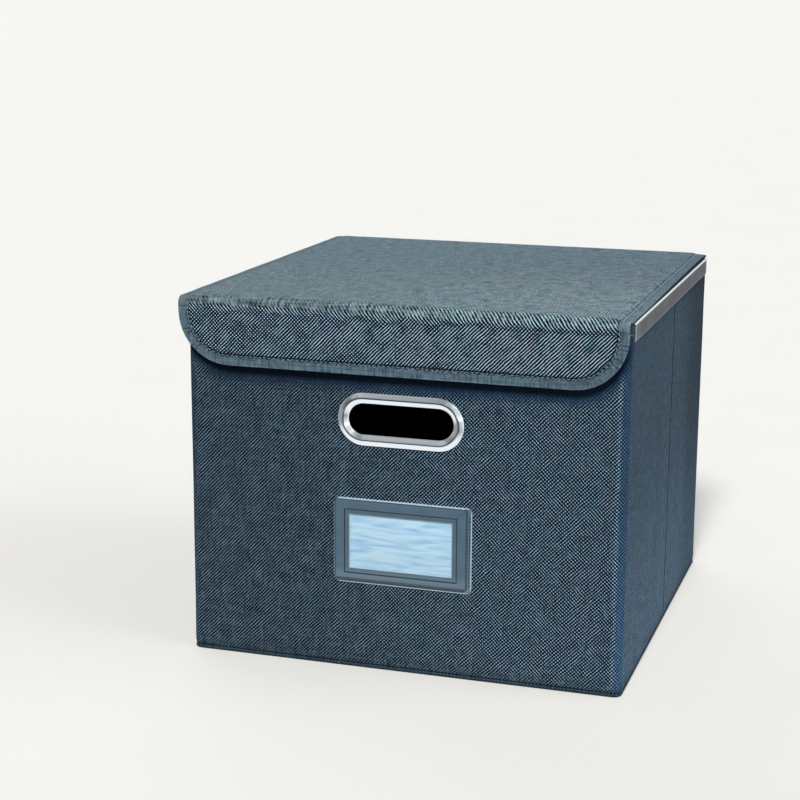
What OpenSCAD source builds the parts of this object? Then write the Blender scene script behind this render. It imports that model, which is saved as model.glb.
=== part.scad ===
// Linen file box with a hinged lid and front flap: stiff boards sewn between a
// woven cover and a non-woven lining, with steel rails for hanging folders.
// Millimetres. +Z is up, the front faces -Y, and the origin is the centre of
// the underside, on the surface that the box stands on.

/* [Body] */
// Width of the body over its linen cover
body_w = 320; // [300:1:400]
// Depth of the body over its linen cover
body_d = 328; // [300:1:420]
// Height of the walls' top edge above the desk
body_h = 261; // [230:1:320]
// Radius of the upright corners, where the cloth turns with no board in it
corner_r = 6; // [6:0.5:10]
// How far behind the middle of the side walls their fold line lies
fold_y = 8; // [-40:1:40]

/* [Cloth and boards] */
// Thickness of the woven linen
linen_t = 0.8; // [0.6:0.1:1]
// Thickness of the boards in the walls
board_t = 2.4; // [1.8:0.1:3]
// Thickness of the non-woven lining
lining_t = 0.5; // [0.3:0.1:0.6]
// Height of the tape that binds the walls' top edge
binding_h = 10; // [8:1:14]
// Gap between the two boards of a side wall, at the fold line
fold_gap = 2; // [1.5:0.5:5]

/* [Base] */
// Radius of the piping sewn round the bottom edge
piping_r = 1.5; // [1.2:0.1:1.8]
// Thickness of the base panel's linen
base_t = 1; // [0.8:0.1:1.2]
// Thickness of the loose floor insert with its cloth
insert_t = 3.4; // [3:0.1:5]
// Clearance from the floor insert to the lining at each side
insert_side_gap = 2.8; // [2.4:0.1:5]
// Clearance from the floor insert to the lining at the front and the back
insert_end_gap = 3.8; // [3.4:0.1:6]

/* [Rails] */
// Thickness of the rails' sheet steel
rail_t = 0.8; // [0.6:0.1:1]
// Height of the rails' side flanges
rail_h = 12.5; // [10:0.5:16]
// Play between a rail's flange and the wall that it grips
rail_play = 0.1; // [0.05:0.05:0.3]

/* [Hand grips] */
// Height of the grips' centre above the desk
grip_z = 184; // [150:1:190]
// Length of the hole in a grip
grip_hole_w = 76; // [70:1:90]
// Height of the hole in a grip
grip_hole_h = 22; // [20:1:26]
// Width of the grip's face round its hole
grip_face_w = 8; // [7:0.5:9]
// How far the grip's crest stands out of the cloth
grip_proud = 3; // [2:0.25:4]

/* [Label holder] */
// Height of the label holder's centre above the desk
label_z = 95; // [60:1:100]
// How far to the right of the body's middle the holder is sewn on
label_x = 2; // [-10:0.5:10]
// Width of the holder's backing
label_w = 101; // [96:1:110]
// Height of the holder's backing
label_h = 62.5; // [60:0.5:70]
// Width of the holder's window
window_w = 75; // [60:1:78]
// Height of the holder's window
window_h = 39; // [30:1:40]

/* [Lid and flap] */
// Width of the lid and the flap over their hems
lid_w = 323.6; // [320:0.2:330]
// How far to the right of the body's middle the lid is sewn on
lid_shift = -2; // [-3:0.5:3]
// Thickness of the stiffened middle of the lid and the flap
lid_t = 4.1; // [3.9:0.1:5]
// Thickness of the hem, where there is only folded cloth
hem_t = 2.4; // [2:0.1:2.6]
// Width of the hem outside the row of stitches
hem_w = 11.5; // [9:0.5:14]
// How far the flap hangs below the fold
flap_l = 42.5; // [40:0.5:50]
// Radius of the flap's lower corners
flap_r = 38; // [26:1:39]
// Radius on the inside of the fold between the lid and the flap
fold_r = 3; // [2.5:0.1:4]

/* [Hidden] */
$fn = 64;

linen_colour = [0.24, 0.32, 0.37];
side_colour = [0.20, 0.28, 0.33];
lining_colour = [0.12, 0.15, 0.18];
board_colour = [0.62, 0.52, 0.38];
steel_colour = [0.66, 0.65, 0.67];
chrome_colour = [0.86, 0.87, 0.88];
trim_colour = [0.30, 0.37, 0.43];
film_colour = [0.80, 0.90, 1.00, 0.35];
card_colour = [0.70, 0.83, 0.93];

// The wall's layers, as distances inward from its outer face
wall_t = linen_t + board_t + lining_t;
board_out = linen_t;
board_in = linen_t + board_t;

// Slack left where a layer is tucked under another
tuck = 0.2;
// The walls' cloth starts above the piping, with a thread's gap
wall_z = 2 * piping_r + tuck;
// The boards end under the tape that closes the rim
board_top = body_h - linen_t;
// The underside of the cloth inside the base
floor_z = base_t + lining_t;

// A rail grips the wall's whole thickness between its flanges
rail_in = wall_t + rail_play;
rail_out = rail_play + rail_t;
rail_edge_r = 1;
rail_w = rail_in + rail_t + rail_out;
rail_l = body_d - 2 * corner_r;
rail_top = body_h + rail_t;

// Where the walls' straights end and their corners begin
side_x = body_w / 2 - corner_r;
side_y = body_d / 2 - corner_r;

// A grip's oval is drawn about two centres, half the hole's straight apart
grip_r = grip_hole_h / 2;
grip_half = grip_hole_w / 2 - grip_r;
grip_toe = 0.5;
grip_crest_w = 1.2;
sleeve_t = 1;
clip_t = 1.5;
clip_play = 0.05;
clip_edge = 0.5;
clip_inset = 1;
slot_r = grip_r + sleeve_t + tuck;

// The label holder's layers, as heights above the wall's face
backing_t = 0.6;
pocket_t = 0.85;
film_t = 0.25;
frame_t = 1.15;
lip_t = 0.5;
lip_w = 3.4;
rim_w = 2.5;
label_r = 4;
// The frame leaves this much of the backing bare on the right and below
backing_margin = 2.8;
// The window sits a little to the left of the holder's middle
window_shift = -1.3;
card_t = 0.35;
card_gap = 0.5;
card_lift = 0.1;
frame_w = label_w - backing_margin;
frame_h = label_h - backing_margin;
window_x = window_shift - window_w / 2;
window_y = -window_h / 2;

// The floor insert's cloth
insert_cloth_t = 0.5;
insert_r = 3;
insert_w = body_w - 2 * (wall_t + insert_side_gap);
insert_d = body_d - 2 * (wall_t + insert_end_gap);

// The lid lies just over the rails and turns on the roll of its rear hem
lid_gap = 0.2;
lid_z = rail_top + lid_gap;
hinge_back = 2;
hinge_y = body_d / 2 + hinge_back;
hinge_z = lid_z + hem_t / 2;
lid_rear_r = 5;
shoulder_r = 1.5;
panel_rear_r = 4;
// The lining's edge lies under the turned edge of the linen
turn_w = 3;
board_gap = 3;

// The flap hangs clear of the front wall, and of the tape at its rim
flap_gap = 4;
fold_centre_y = -body_d / 2 - flap_gap + fold_r;
fold_centre_z = lid_z - fold_r;
lid_l = hinge_y + hem_t / 2 - fold_centre_y;

// Strip of linen that ties the lid's rear hem to the back wall
strip_h = 17;
strip_w = 300;
strip_gap = 0.3;
strip_top = hinge_z - hem_t / 2 - strip_gap;

// ---- outlines ---------------------------------------------------------

// Rectangle with round corners, centred
module round_rect(w, d, r) {
    square([w - 2 * r, d], center = true);
    square([w, d - 2 * r], center = true);
    for (sx = [-1, 1], sy = [-1, 1])
        translate([sx * (w / 2 - r), sy * (d / 2 - r)])
            circle(r = r);
}

// Oval of two half circles joined by straights, centred
module oval(half, r) {
    square([2 * half, 2 * r], center = true);
    for (s = [-1, 1])
        translate([s * half, 0])
            circle(r = r);
}

// Outline of a sheet that is straight at its fold, y = 0, and rounded at its
// two free corners, y = l
module tongue(w, l, r) {
    intersection() {
        union() {
            translate([-w / 2, 0])
                square([w, l - r]);
            translate([-(w / 2 - r), 0])
                square([w - 2 * r, l]);
            for (s = [-1, 1])
                translate([s * (w / 2 - r), l - r])
                    circle(r = r);
        }
        translate([-w / 2, 0])
            square([w, l]);
    }
}

// ---- sweeps: the child is the section ---------------------------------

// Sweeps a section round a rectangle with round corners: section x is the
// distance outward from the path, section y is the height
module sweep_rect(w, d, r) {
    for (k = [0:3]) {
        across = k % 2 == 0 ? w : d;
        along = k % 2 == 0 ? d : w;
        rotate(90 * k) {
            translate([across / 2, along / 2 - r, 0])
                rotate([90, 0, 0])
                    linear_extrude(along - 2 * r)
                        children();
            translate([across / 2 - r, along / 2 - r, 0])
                rotate_extrude(angle = 90)
                    translate([r, 0])
                        children();
        }
    }
}

// Sweeps a section round an oval: section x is the distance from the oval's
// centre line, section y is the height
module sweep_oval(half) {
    for (turn = [0, 180])
        rotate(turn) {
            translate([half, 0, 0])
                rotate(-90)
                    rotate_extrude(angle = 180)
                        children();
            translate([-half, 0, 0])
                rotate([90, 0, 90])
                    linear_extrude(2 * half)
                        children();
        }
}

// Rolls of radius q round the three free edges of a tongue
module edge_rolls(w, l, r, q) {
    for (s = [-1, 1]) {
        translate([s * (w / 2 - q), 0, 0])
            rotate([-90, 0, 0])
                linear_extrude(l - r)
                    circle(r = q);
        translate([s * (w / 2 - r), l - r, 0])
            rotate(s > 0 ? 0 : 90)
                rotate_extrude(angle = 90)
                    translate([r - q, 0])
                        circle(r = q);
    }
    translate([-(w / 2 - r), l - q, 0])
        rotate([90, 0, 90])
            linear_extrude(w - 2 * r)
                circle(r = q);
}

// ---- the lid's and the flap's shared make-up --------------------------

// Folded cloth with a half-round edge, drawn flat with its fold end at y = 0
module hem_sheet(w, l, r) {
    q = hem_t / 2;
    linear_extrude(hem_t)
        tongue(w - 2 * q, l - q, r - q);
    translate([0, 0, q])
        edge_rolls(w, l, r, q);
}

// The raised middle, where the cloth goes over the board's rounded edge
module raised_panel(w, l, r) {
    linear_extrude(lid_t - shoulder_r)
        tongue(w, l, r);
    linear_extrude(lid_t)
        tongue(w - 2 * shoulder_r, l - shoulder_r, r - shoulder_r);
    translate([0, 0, lid_t - shoulder_r])
        edge_rolls(w, l, r, shoulder_r);
}

// Room for the board, and the board itself
module stiffener(w, l, r) {
    translate([0, board_gap, lining_t])
        linear_extrude(lid_t - linen_t - lining_t)
            tongue(w, l - board_gap, r);
}

// Room for the lining, and the lining itself
module under_sheet(w, l, r) {
    linear_extrude(lining_t)
        tongue(w - 2 * turn_w, l - turn_w, r - turn_w);
}

// Sizes of the raised middle, and of the board inside it
panel_w = lid_w - 2 * hem_w;
panel_l = lid_l - hem_w;
stiff_w = panel_w - 2 * shoulder_r;
stiff_l = panel_l - shoulder_r;
stiff_r = panel_rear_r - shoulder_r;
flap_panel_l = flap_l - hem_w;
flap_panel_r = flap_r - hem_w;

// Section of the lid across its width, with its underside at y = 0
module lid_section() {
    straight_w = lid_w - hem_t;
    top_w = panel_w - 2 * shoulder_r;
    translate([-straight_w / 2, 0])
        square([straight_w, hem_t]);
    translate([-panel_w / 2, 0])
        square([panel_w, lid_t - shoulder_r]);
    translate([-top_w / 2, 0])
        square([top_w, lid_t]);
    for (s = [-1, 1]) {
        translate([s * straight_w / 2, hem_t / 2])
            circle(d = hem_t);
        translate([s * top_w / 2, lid_t - shoulder_r])
            circle(r = shoulder_r);
    }
}

// Puts what is drawn flat in the lid's or the flap's place
module at_lid() {
    translate([lid_shift, fold_centre_y, lid_z])
        children();
}

module at_flap() {
    translate([lid_shift, fold_centre_y - fold_r, fold_centre_z])
        rotate([90, 0, 0])
            rotate([0, 0, 180])
                children();
}

// Puts what is drawn on a flat wall on the front's or the back's outer face
module at_front(z) {
    translate([0, -body_d / 2, z])
        rotate([90, 0, 0])
            children();
}

module at_back(z) {
    translate([0, body_d / 2, z])
        rotate([90, 0, 180])
            children();
}

module at_label() {
    translate([label_x, 0, 0])
        at_front(label_z)
            children();
}

// ---- walls ------------------------------------------------------------

// A layer of the walls, between two distances inward from the outer face
module wall_layer(outer, inner, z0, z1) {
    translate([0, 0, z0])
        linear_extrude(z1 - z0)
            difference() {
                round_rect(body_w - 2 * outer, body_d - 2 * outer, corner_r - outer);
                round_rect(body_w - 2 * inner, body_d - 2 * inner, corner_r - inner);
            }
}

// Slots for the two hand grips, through the front and the back
module grip_slots() {
    translate([0, 0, grip_z])
        rotate([90, 0, 0])
            linear_extrude(2 * body_d, center = true)
                oval(grip_half, slot_r);
}

// The board of the front (-1) or of the back (1)
module end_board(s) {
    inner_y = body_d / 2 - board_in;
    difference() {
        translate([-side_x, s > 0 ? inner_y : -inner_y - board_t, wall_z])
            cube([2 * side_x, board_t, board_top - wall_z]);
        grip_slots();
    }
}

// A side wall's board from y0 to y1, on the left (-1) or the right (1)
module side_board(s, y0, y1) {
    inner_x = body_w / 2 - board_in;
    translate([s > 0 ? inner_x : -inner_x - board_t, y0, wall_z])
        cube([board_t, y1 - y0, board_top - wall_z]);
}

module front_board() {
    color(board_colour)
        end_board(-1);
}

module back_board() {
    color(board_colour)
        end_board(1);
}

module left_front_board() {
    color(board_colour)
        side_board(-1, -side_y, fold_y - fold_gap / 2);
}

module left_rear_board() {
    color(board_colour)
        side_board(-1, fold_y + fold_gap / 2, side_y);
}

module right_front_board() {
    color(board_colour)
        side_board(1, -side_y, fold_y - fold_gap / 2);
}

module right_rear_board() {
    color(board_colour)
        side_board(1, fold_y + fold_gap / 2, side_y);
}

// The linen dips along the fold line, where nothing stiffens it
fold_dip = 0.5;
fold_dip_w = 2.4;

module wall_cover() {
    color(linen_colour)
        difference() {
            wall_layer(0, board_out, wall_z, body_h - binding_h);
            grip_slots();
            for (s = [-1, 1])
                translate([s * body_w / 2, fold_y, 0])
                    linear_extrude(body_h)
                        polygon([[-s * fold_dip, 0], [0, fold_dip_w / 2], [s, fold_dip_w / 2],
                                 [s, -fold_dip_w / 2], [0, -fold_dip_w / 2]]);
        }
}

module wall_lining() {
    color(lining_colour)
        difference() {
            wall_layer(board_in, wall_t, base_t, body_h - binding_h);
            grip_slots();
        }
}

// Tape folded over the top of the walls
module rim_binding() {
    color(side_colour) {
        wall_layer(0, wall_t, board_top, body_h);
        wall_layer(0, board_out, body_h - binding_h, board_top);
        wall_layer(board_in, wall_t, body_h - binding_h, board_top);
    }
}

// ---- base -------------------------------------------------------------

module base_panel() {
    edge = 2 * piping_r;
    color(side_colour)
        linear_extrude(base_t)
            round_rect(body_w - 2 * edge, body_d - 2 * edge, corner_r - edge);
}

module base_lining() {
    color(lining_colour)
        translate([0, 0, base_t])
            linear_extrude(lining_t)
                round_rect(body_w - 2 * wall_t, body_d - 2 * wall_t, corner_r - wall_t);
}

module base_piping() {
    color(side_colour)
        sweep_rect(body_w, body_d, corner_r)
            translate([-piping_r, piping_r])
                circle(r = piping_r);
}

// ---- loose floor insert -----------------------------------------------

module insert_slab(inset, z0, z1) {
    translate([0, 0, floor_z + z0])
        linear_extrude(z1 - z0)
            round_rect(insert_w - 2 * inset, insert_d - 2 * inset, insert_r - inset);
}

module insert_board() {
    color(board_colour)
        insert_slab(insert_cloth_t, insert_cloth_t, insert_t - insert_cloth_t);
}

module insert_top_cloth() {
    color(lining_colour)
        difference() {
            insert_slab(0, insert_cloth_t, insert_t);
            insert_slab(insert_cloth_t, 0, insert_t - insert_cloth_t);
        }
}

module insert_bottom_cloth() {
    color(lining_colour)
        insert_slab(0, 0, insert_cloth_t);
}

// ---- rails ------------------------------------------------------------

// Channel over a side wall's top, drawn for the right side: x runs outward
// from the wall's outer face, and y is the height
module rail_section() {
    difference() {
        translate([-rail_in - rail_t, rail_top - rail_h]) {
            translate([0, rail_t / 2])
                square([rail_w, rail_h - rail_edge_r - rail_t / 2]);
            translate([rail_edge_r, rail_edge_r])
                square([rail_w - 2 * rail_edge_r, rail_h - rail_edge_r]);
            for (x = [rail_edge_r, rail_w - rail_edge_r])
                translate([x, rail_h - rail_edge_r])
                    circle(r = rail_edge_r);
        }
        translate([-rail_in, rail_top - 2 * rail_h])
            square([rail_in + rail_play, 2 * rail_h - rail_t]);
    }
    // Rounded edges of the two flanges
    for (x = [-rail_in - rail_t / 2, rail_play + rail_t / 2])
        translate([x, rail_top - rail_h + rail_t / 2])
            circle(d = rail_t);
}

module rail() {
    translate([body_w / 2, rail_l / 2, 0])
        rotate([90, 0, 0])
            linear_extrude(rail_l)
                rail_section();
}

module left_rail() {
    color(steel_colour)
        mirror([1, 0, 0])
            rail();
}

module right_rail() {
    color(steel_colour)
        rail();
}

// ---- hand grips -------------------------------------------------------

// Ridged face and the sleeve behind it, with y = 0 on the wall's outer face
module grip_section() {
    outer = grip_r + grip_face_w;
    crest = grip_r + grip_face_w / 2;
    depth = wall_t + clip_t + tuck;
    polygon([
        [outer, 0], [outer, grip_toe], [crest + grip_crest_w / 2, grip_proud],
        [crest - grip_crest_w / 2, grip_proud], [grip_r, grip_toe],
        [grip_r, -depth], [grip_r + sleeve_t, -depth], [grip_r + sleeve_t, 0]
    ]);
}

// Flat ring that locks on the sleeve behind the lining
module clip_section() {
    inner = grip_r + sleeve_t + clip_play;
    outer = grip_r + grip_face_w - clip_inset;
    translate([0, -wall_t])
        polygon([
            [inner, 0], [outer, 0], [outer, -clip_t + clip_edge],
            [outer - clip_edge, -clip_t], [inner, -clip_t]
        ]);
}

module front_grip() {
    color(chrome_colour)
        at_front(grip_z)
            sweep_oval(grip_half)
                grip_section();
}

module front_grip_clip() {
    color(steel_colour)
        at_front(grip_z)
            sweep_oval(grip_half)
                clip_section();
}

module back_grip() {
    color(chrome_colour)
        at_back(grip_z)
            sweep_oval(grip_half)
                grip_section();
}

module back_grip_clip() {
    color(steel_colour)
        at_back(grip_z)
            sweep_oval(grip_half)
                clip_section();
}

// ---- label holder -----------------------------------------------------

// The frame's outline, pushed to the backing's upper left corner
module frame_outline() {
    translate([-backing_margin / 2, backing_margin / 2])
        round_rect(frame_w, frame_h, label_r);
}

module window_hole(grow) {
    translate([window_x - grow, window_y - grow])
        square([window_w + 2 * grow, window_h + 2 * grow]);
}

module label_backing() {
    color(trim_colour)
        at_label()
            linear_extrude(backing_t)
                round_rect(label_w, label_h, label_r);
}

// Frame sewn down on three sides, so that the card goes in from the right
module label_frame() {
    face_z = backing_t + pocket_t;
    color(trim_colour)
        at_label() {
            translate([0, 0, backing_t])
                linear_extrude(pocket_t)
                    difference() {
                        frame_outline();
                        translate([-label_w / 2 + rim_w, -label_h / 2 + backing_margin + rim_w])
                            square([label_w, frame_h - 2 * rim_w]);
                    }
            translate([0, 0, face_z])
                linear_extrude(lip_t)
                    difference() {
                        frame_outline();
                        window_hole(0);
                    }
            translate([0, 0, face_z])
                linear_extrude(frame_t)
                    difference() {
                        frame_outline();
                        window_hole(lip_w);
                    }
        }
}

module label_window() {
    color(film_colour)
        at_label()
            translate([0, 0, backing_t + pocket_t - film_t])
                linear_extrude(film_t)
                    window_hole(lip_w);
}

module label_card() {
    inset = rim_w + card_gap;
    color(card_colour)
        at_label()
            translate([-label_w / 2, -label_h / 2 + backing_margin, backing_t + card_lift])
                translate([inset, inset, 0])
                    cube([frame_w - inset - card_gap, frame_h - 2 * inset, card_t]);
}

// ---- lid --------------------------------------------------------------

module lid_cover() {
    color(linen_colour)
        at_lid()
            difference() {
                union() {
                    hem_sheet(lid_w, lid_l, lid_rear_r);
                    raised_panel(panel_w, panel_l, panel_rear_r);
                }
                under_sheet(lid_w, lid_l, lid_rear_r);
                stiffener(stiff_w, stiff_l, stiff_r);
            }
}

module lid_board() {
    color(board_colour)
        at_lid()
            stiffener(stiff_w, stiff_l, stiff_r);
}

module lid_lining() {
    color(lining_colour)
        at_lid()
            under_sheet(lid_w, lid_l, lid_rear_r);
}

module lid_hinge_cloth() {
    color(side_colour)
        translate([-strip_w / 2, body_d / 2, strip_top - strip_h])
            cube([strip_w, linen_t, strip_h]);
}

// The cloth between the lid's board and the flap's, bent round the rim
module fold_cloth() {
    color(linen_colour)
        translate([lid_shift, fold_centre_y, fold_centre_z])
            rotate([90, 0, -90])
                rotate_extrude(angle = 90)
                    translate([fold_r, 0])
                        rotate(-90)
                            lid_section();
}

// ---- flap -------------------------------------------------------------

flap_stiff_w = panel_w - 2 * shoulder_r;
flap_stiff_l = flap_panel_l - shoulder_r;
flap_stiff_r = flap_panel_r - shoulder_r;

module flap_cover() {
    color(linen_colour)
        at_flap()
            difference() {
                union() {
                    hem_sheet(lid_w, flap_l, flap_r);
                    raised_panel(panel_w, flap_panel_l, flap_panel_r);
                }
                under_sheet(lid_w, flap_l, flap_r);
                stiffener(flap_stiff_w, flap_stiff_l, flap_stiff_r);
            }
}

module flap_board() {
    color(board_colour)
        at_flap()
            stiffener(flap_stiff_w, flap_stiff_l, flap_stiff_r);
}

module flap_lining() {
    color(lining_colour)
        at_flap()
            under_sheet(lid_w, flap_l, flap_r);
}

front_board();
back_board();
left_front_board();
left_rear_board();
right_front_board();
right_rear_board();
wall_cover();
wall_lining();
rim_binding();
base_panel();
base_lining();
base_piping();
left_rail();
right_rail();
front_grip();
front_grip_clip();
back_grip();
back_grip_clip();
label_backing();
label_frame();
label_window();
label_card();
insert_board();
insert_top_cloth();
insert_bottom_cloth();
lid_hinge_cloth();
lid_board();
lid_cover();
lid_lining();
fold_cloth();
flap_board();
flap_cover();
flap_lining();
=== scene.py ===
# Linen file box with a hinged lid and front flap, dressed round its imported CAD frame.
# Metres. X runs to the right, Y from the front wall to the back wall and Z up.
import bisect
import math

import bmesh
import bpy
from mathutils import Matrix, Vector, noise


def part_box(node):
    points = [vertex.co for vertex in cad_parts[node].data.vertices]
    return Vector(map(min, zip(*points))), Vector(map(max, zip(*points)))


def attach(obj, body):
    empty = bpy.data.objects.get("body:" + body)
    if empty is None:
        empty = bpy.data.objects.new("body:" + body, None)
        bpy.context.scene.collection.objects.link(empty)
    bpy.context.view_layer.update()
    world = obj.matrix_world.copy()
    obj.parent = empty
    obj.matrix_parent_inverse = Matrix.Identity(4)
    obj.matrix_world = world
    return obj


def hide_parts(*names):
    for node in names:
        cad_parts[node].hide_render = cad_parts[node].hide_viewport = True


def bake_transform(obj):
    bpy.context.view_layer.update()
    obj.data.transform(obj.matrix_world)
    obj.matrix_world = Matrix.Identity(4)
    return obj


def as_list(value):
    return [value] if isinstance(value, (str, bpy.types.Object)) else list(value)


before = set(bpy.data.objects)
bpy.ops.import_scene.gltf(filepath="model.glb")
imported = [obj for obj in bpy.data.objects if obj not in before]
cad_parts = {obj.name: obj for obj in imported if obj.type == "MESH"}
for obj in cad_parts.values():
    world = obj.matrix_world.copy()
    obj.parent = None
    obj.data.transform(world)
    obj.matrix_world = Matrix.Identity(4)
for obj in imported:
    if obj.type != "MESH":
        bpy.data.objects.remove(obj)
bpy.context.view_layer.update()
scene = bpy.context.scene
mm = 0.001

# ---- Camera and studio ---------------------------------------------------
# The camera stands where the photograph was taken from, a little above the box and
# to its right. Soft boxes shine on a plain pale floor from in front, from the right
# and from behind, and the pale room round them fills the shadows.

view_lens = 82.4
view_place = Vector((0.3735, -1.3411, 0.4802))
view_turn = math.radians(17.63)
view_dip = math.radians(12.80)
view_roll = math.radians(0.32)

camera_data = bpy.data.cameras.new("camera")
camera_data.lens = view_lens
camera = bpy.data.objects.new("camera", camera_data)
camera.matrix_world = (
    Matrix.Translation(view_place)
    @ Matrix.Rotation(view_turn, 4, "Z")
    @ Matrix.Rotation(math.radians(90) - view_dip, 4, "X")
    @ Matrix.Rotation(view_roll, 4, "Z")
)
scene.collection.objects.link(camera)
scene.camera = camera
scene.view_settings.view_transform = "Standard"


def linear(hex_colour):
    """Linear colour of an sRGB hex value such as #3d5260."""
    parts = [int(hex_colour[i : i + 2], 16) / 255 for i in (1, 3, 5)]
    return [c / 12.92 if c <= 0.04045 else ((c + 0.055) / 1.055) ** 2.4 for c in parts] + [1.0]


def adder(tree):
    """Empties a node tree and gives the function that adds shader nodes to it. That one
    takes a node's inputs by name or in their order, as values, hex colours, sockets or
    nodes, which stand for their first output in use, and then the node's settings. A mix
    whose inputs 6 and 7 are given mixes colours."""
    tree.nodes.clear()

    def add(kind, inputs=(), **settings):
        node = tree.nodes.new("ShaderNode" + kind)
        if kind == "Mix" and 6 in inputs:
            node.data_type = "RGBA"
        for name, value in settings.items():
            setattr(node, name, value)
        for name, value in inputs.items() if isinstance(inputs, dict) else enumerate(inputs):
            if isinstance(value, str):
                value = linear(value)
            if isinstance(value, bpy.types.Node):
                value = next(o for o in value.outputs if o.enabled)
            if isinstance(value, bpy.types.NodeSocket):
                tree.links.new(value, node.inputs[name])
            else:
                node.inputs[name].default_value = value
        return node

    return add


def new_material(name):
    """An empty material, and the function that adds nodes to it."""
    made = bpy.data.materials.new(name)
    made.use_nodes = True
    return made, adder(made.node_tree)


smooth = {"interpolation_type": "SMOOTHSTEP"}
# Cloth is lit by an even, slightly cool room, and the camera sees plain white
ambient = 0.2
room = bpy.data.worlds.new("room")
room.use_nodes = True
scene.world = room
add = adder(room.node_tree)
rays = add("LightPath")
seen = add(
    "Math", (rays.outputs["Is Camera Ray"], rays.outputs["Is Transmission Ray"]),
    operation="MAXIMUM",
)
room_light = add("Background", {"Color": "#eaf2ff", "Strength": ambient})
direction = add("TexCoord").outputs["Generated"]
facing = add("SeparateXYZ", {"Vector": direction})
# Dark behind the camera, white behind the box, and a grey ceiling
front_to_back = add("MapRange", (facing.outputs["Y"], -0.75, 0.5, 0.06, 1.35), **smooth)
up = add("MapRange", (facing.outputs["Z"], 0.25, 0.65), **smooth)
wall_or_ceiling = add("Mix", {"Factor": up, 2: front_to_back, 3: 0.5})
bright_side = add("MapRange", (facing.outputs["X"], 0.2, 0.5), **smooth)
wall_or_ceiling = add("Mix", {"Factor": bright_side, 2: wall_or_ceiling, 3: 1.15})
# Unevenness, which breaks the reflections up
unevenness = add("TexNoise", {"Vector": direction, "Scale": 3.2, "Detail": 3.0})
broken_up = add("MapRange", (unevenness, 0.42, 0.6, 0.75, 1.2), **smooth)
metal_room_light = add("Math", (wall_or_ceiling, broken_up), operation="MULTIPLY")
room_in_metal = add("Background", {"Color": "#eaf1f6", "Strength": metal_room_light})
room_seen = add("Background", {"Color": "#ffffff", "Strength": 1.0})
metal_or_cloth = add(
    "MixShader", {"Fac": rays.outputs["Is Glossy Ray"], 1: room_light, 2: room_in_metal}
)
room_mix = add("MixShader", {"Fac": seen, 1: metal_or_cloth, 2: room_seen})
add("OutputWorld", [room_mix])

# Name, place that it shines from, strength, softness in degrees and colour: far soft
# boxes, whose light is the same over the whole floor
lamps = [
    ("key_soft_box", (0.15, -1.20, 1.25), 3.9, 14, "#fffbf4"),
    ("side_soft_box", (1.00, 0.00, 0.40), 1.3, 50, "#f8fbff"),
    ("rear_soft_box", (-0.75, 0.95, 0.25), 1.1, 60, "#f4f8ff"),
]
for name, place, strength, softness, colour in lamps:
    lamp = bpy.data.lights.new(name, "SUN")
    lamp.energy = strength
    lamp.angle = math.radians(softness)
    lamp.color = linear(colour)[:3]
    holder = bpy.data.objects.new(name, lamp)
    holder.location = place
    holder.rotation_euler = (-Vector(place)).to_track_quat("-Z", "Y").to_euler()
    holder.visible_glossy = False
    scene.collection.objects.link(holder)

floor_colour = "#e0e0de"
floor_paint, add = new_material("matt_floor_paint")
floor_places = add("TexCoord").outputs["Object"]
floor_mottle = add("TexNoise", {"Vector": floor_places, "Scale": 6.0, "Detail": 3.0})
floor_tone = add("Mix", {"Factor": floor_mottle, 6: "#dcdcda", 7: floor_colour})
floor_surface = add("BsdfPrincipled", {"Base Color": floor_tone, "Roughness": 0.85})
# The cloth gets less light from the floor than the eye does, and metal sees it bright
# close by and on the right, grey on the left, and dark in front and behind
soft_bounce = add("BsdfDiffuse", {"Color": "#6f6f70"})
floor_rays = add("LightPath")
floor_mix = add(
    "MixShader", {"Fac": floor_rays.outputs["Is Diffuse Ray"], 1: floor_surface, 2: soft_bounce}
)
floor_spot = add("VectorMath", (floor_places,), operation="LENGTH")
floor_way = add("VectorMath", (floor_places,), operation="NORMALIZE")
way = add("SeparateXYZ", {"Vector": floor_way})
right_light = add("MapRange", (way.outputs["X"], 0.4, 0.75, 0.0, 0.9), **smooth)
left_light = add("MapRange", (way.outputs["X"], -0.25, -0.75, 0.1, 0.38), **smooth)
far_light = add("Math", (right_light, left_light), operation="ADD")
behind = add("MapRange", (way.outputs["Y"], 0.25, 0.6), **smooth)
far_light = add("Mix", {"Factor": behind, 2: far_light, 3: 0.33})
far = add("MapRange", (floor_spot.outputs["Value"], 0.3, 0.62), **smooth)
floor_light = add("Mix", {"Factor": far, 2: 1.05, 3: far_light})
floor_in_metal = add("Emission", {"Color": "#f4f7fa", "Strength": floor_light})
floor_mix = add(
    "MixShader", {"Fac": floor_rays.outputs["Is Glossy Ray"], 1: floor_mix, 2: floor_in_metal}
)
add("OutputMaterial", [floor_mix])
floor_reach = 400.0
floor_mesh = bpy.data.meshes.new("floor")
bm = bmesh.new()
bmesh.ops.create_grid(bm, x_segments=1, y_segments=1, size=floor_reach)
bm.to_mesh(floor_mesh)
bm.free()
floor_mesh.materials.append(floor_paint)
floor = bpy.data.objects.new("floor", floor_mesh)
scene.collection.objects.link(floor)

# ---- Boards --------------------------------------------------------------
# Pressed grey boards stiffen the walls, and others the lid, the flap and the floor
# insert. They are die cut from sheets of recycled fibre, lie between the linen and
# the lining, and are never seen.

board_paper, add = new_material("pressed_grey_board")
places = add("TexCoord").outputs["Object"]
fibres = add("TexNoise", {"Vector": places, "Scale": 1 / (4 * mm), "Detail": 6.0})
board_tone = add("Mix", {"Factor": fibres, 6: "#8d8375", 7: "#a89d8b"})
board_bump = add("Bump", {"Height": fibres, "Strength": 0.3, "Distance": 0.1 * mm})
board_surface = add(
    "BsdfPrincipled", {"Base Color": board_tone, "Roughness": 0.9, "Normal": board_bump}
)
add("OutputMaterial", [board_surface])


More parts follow.
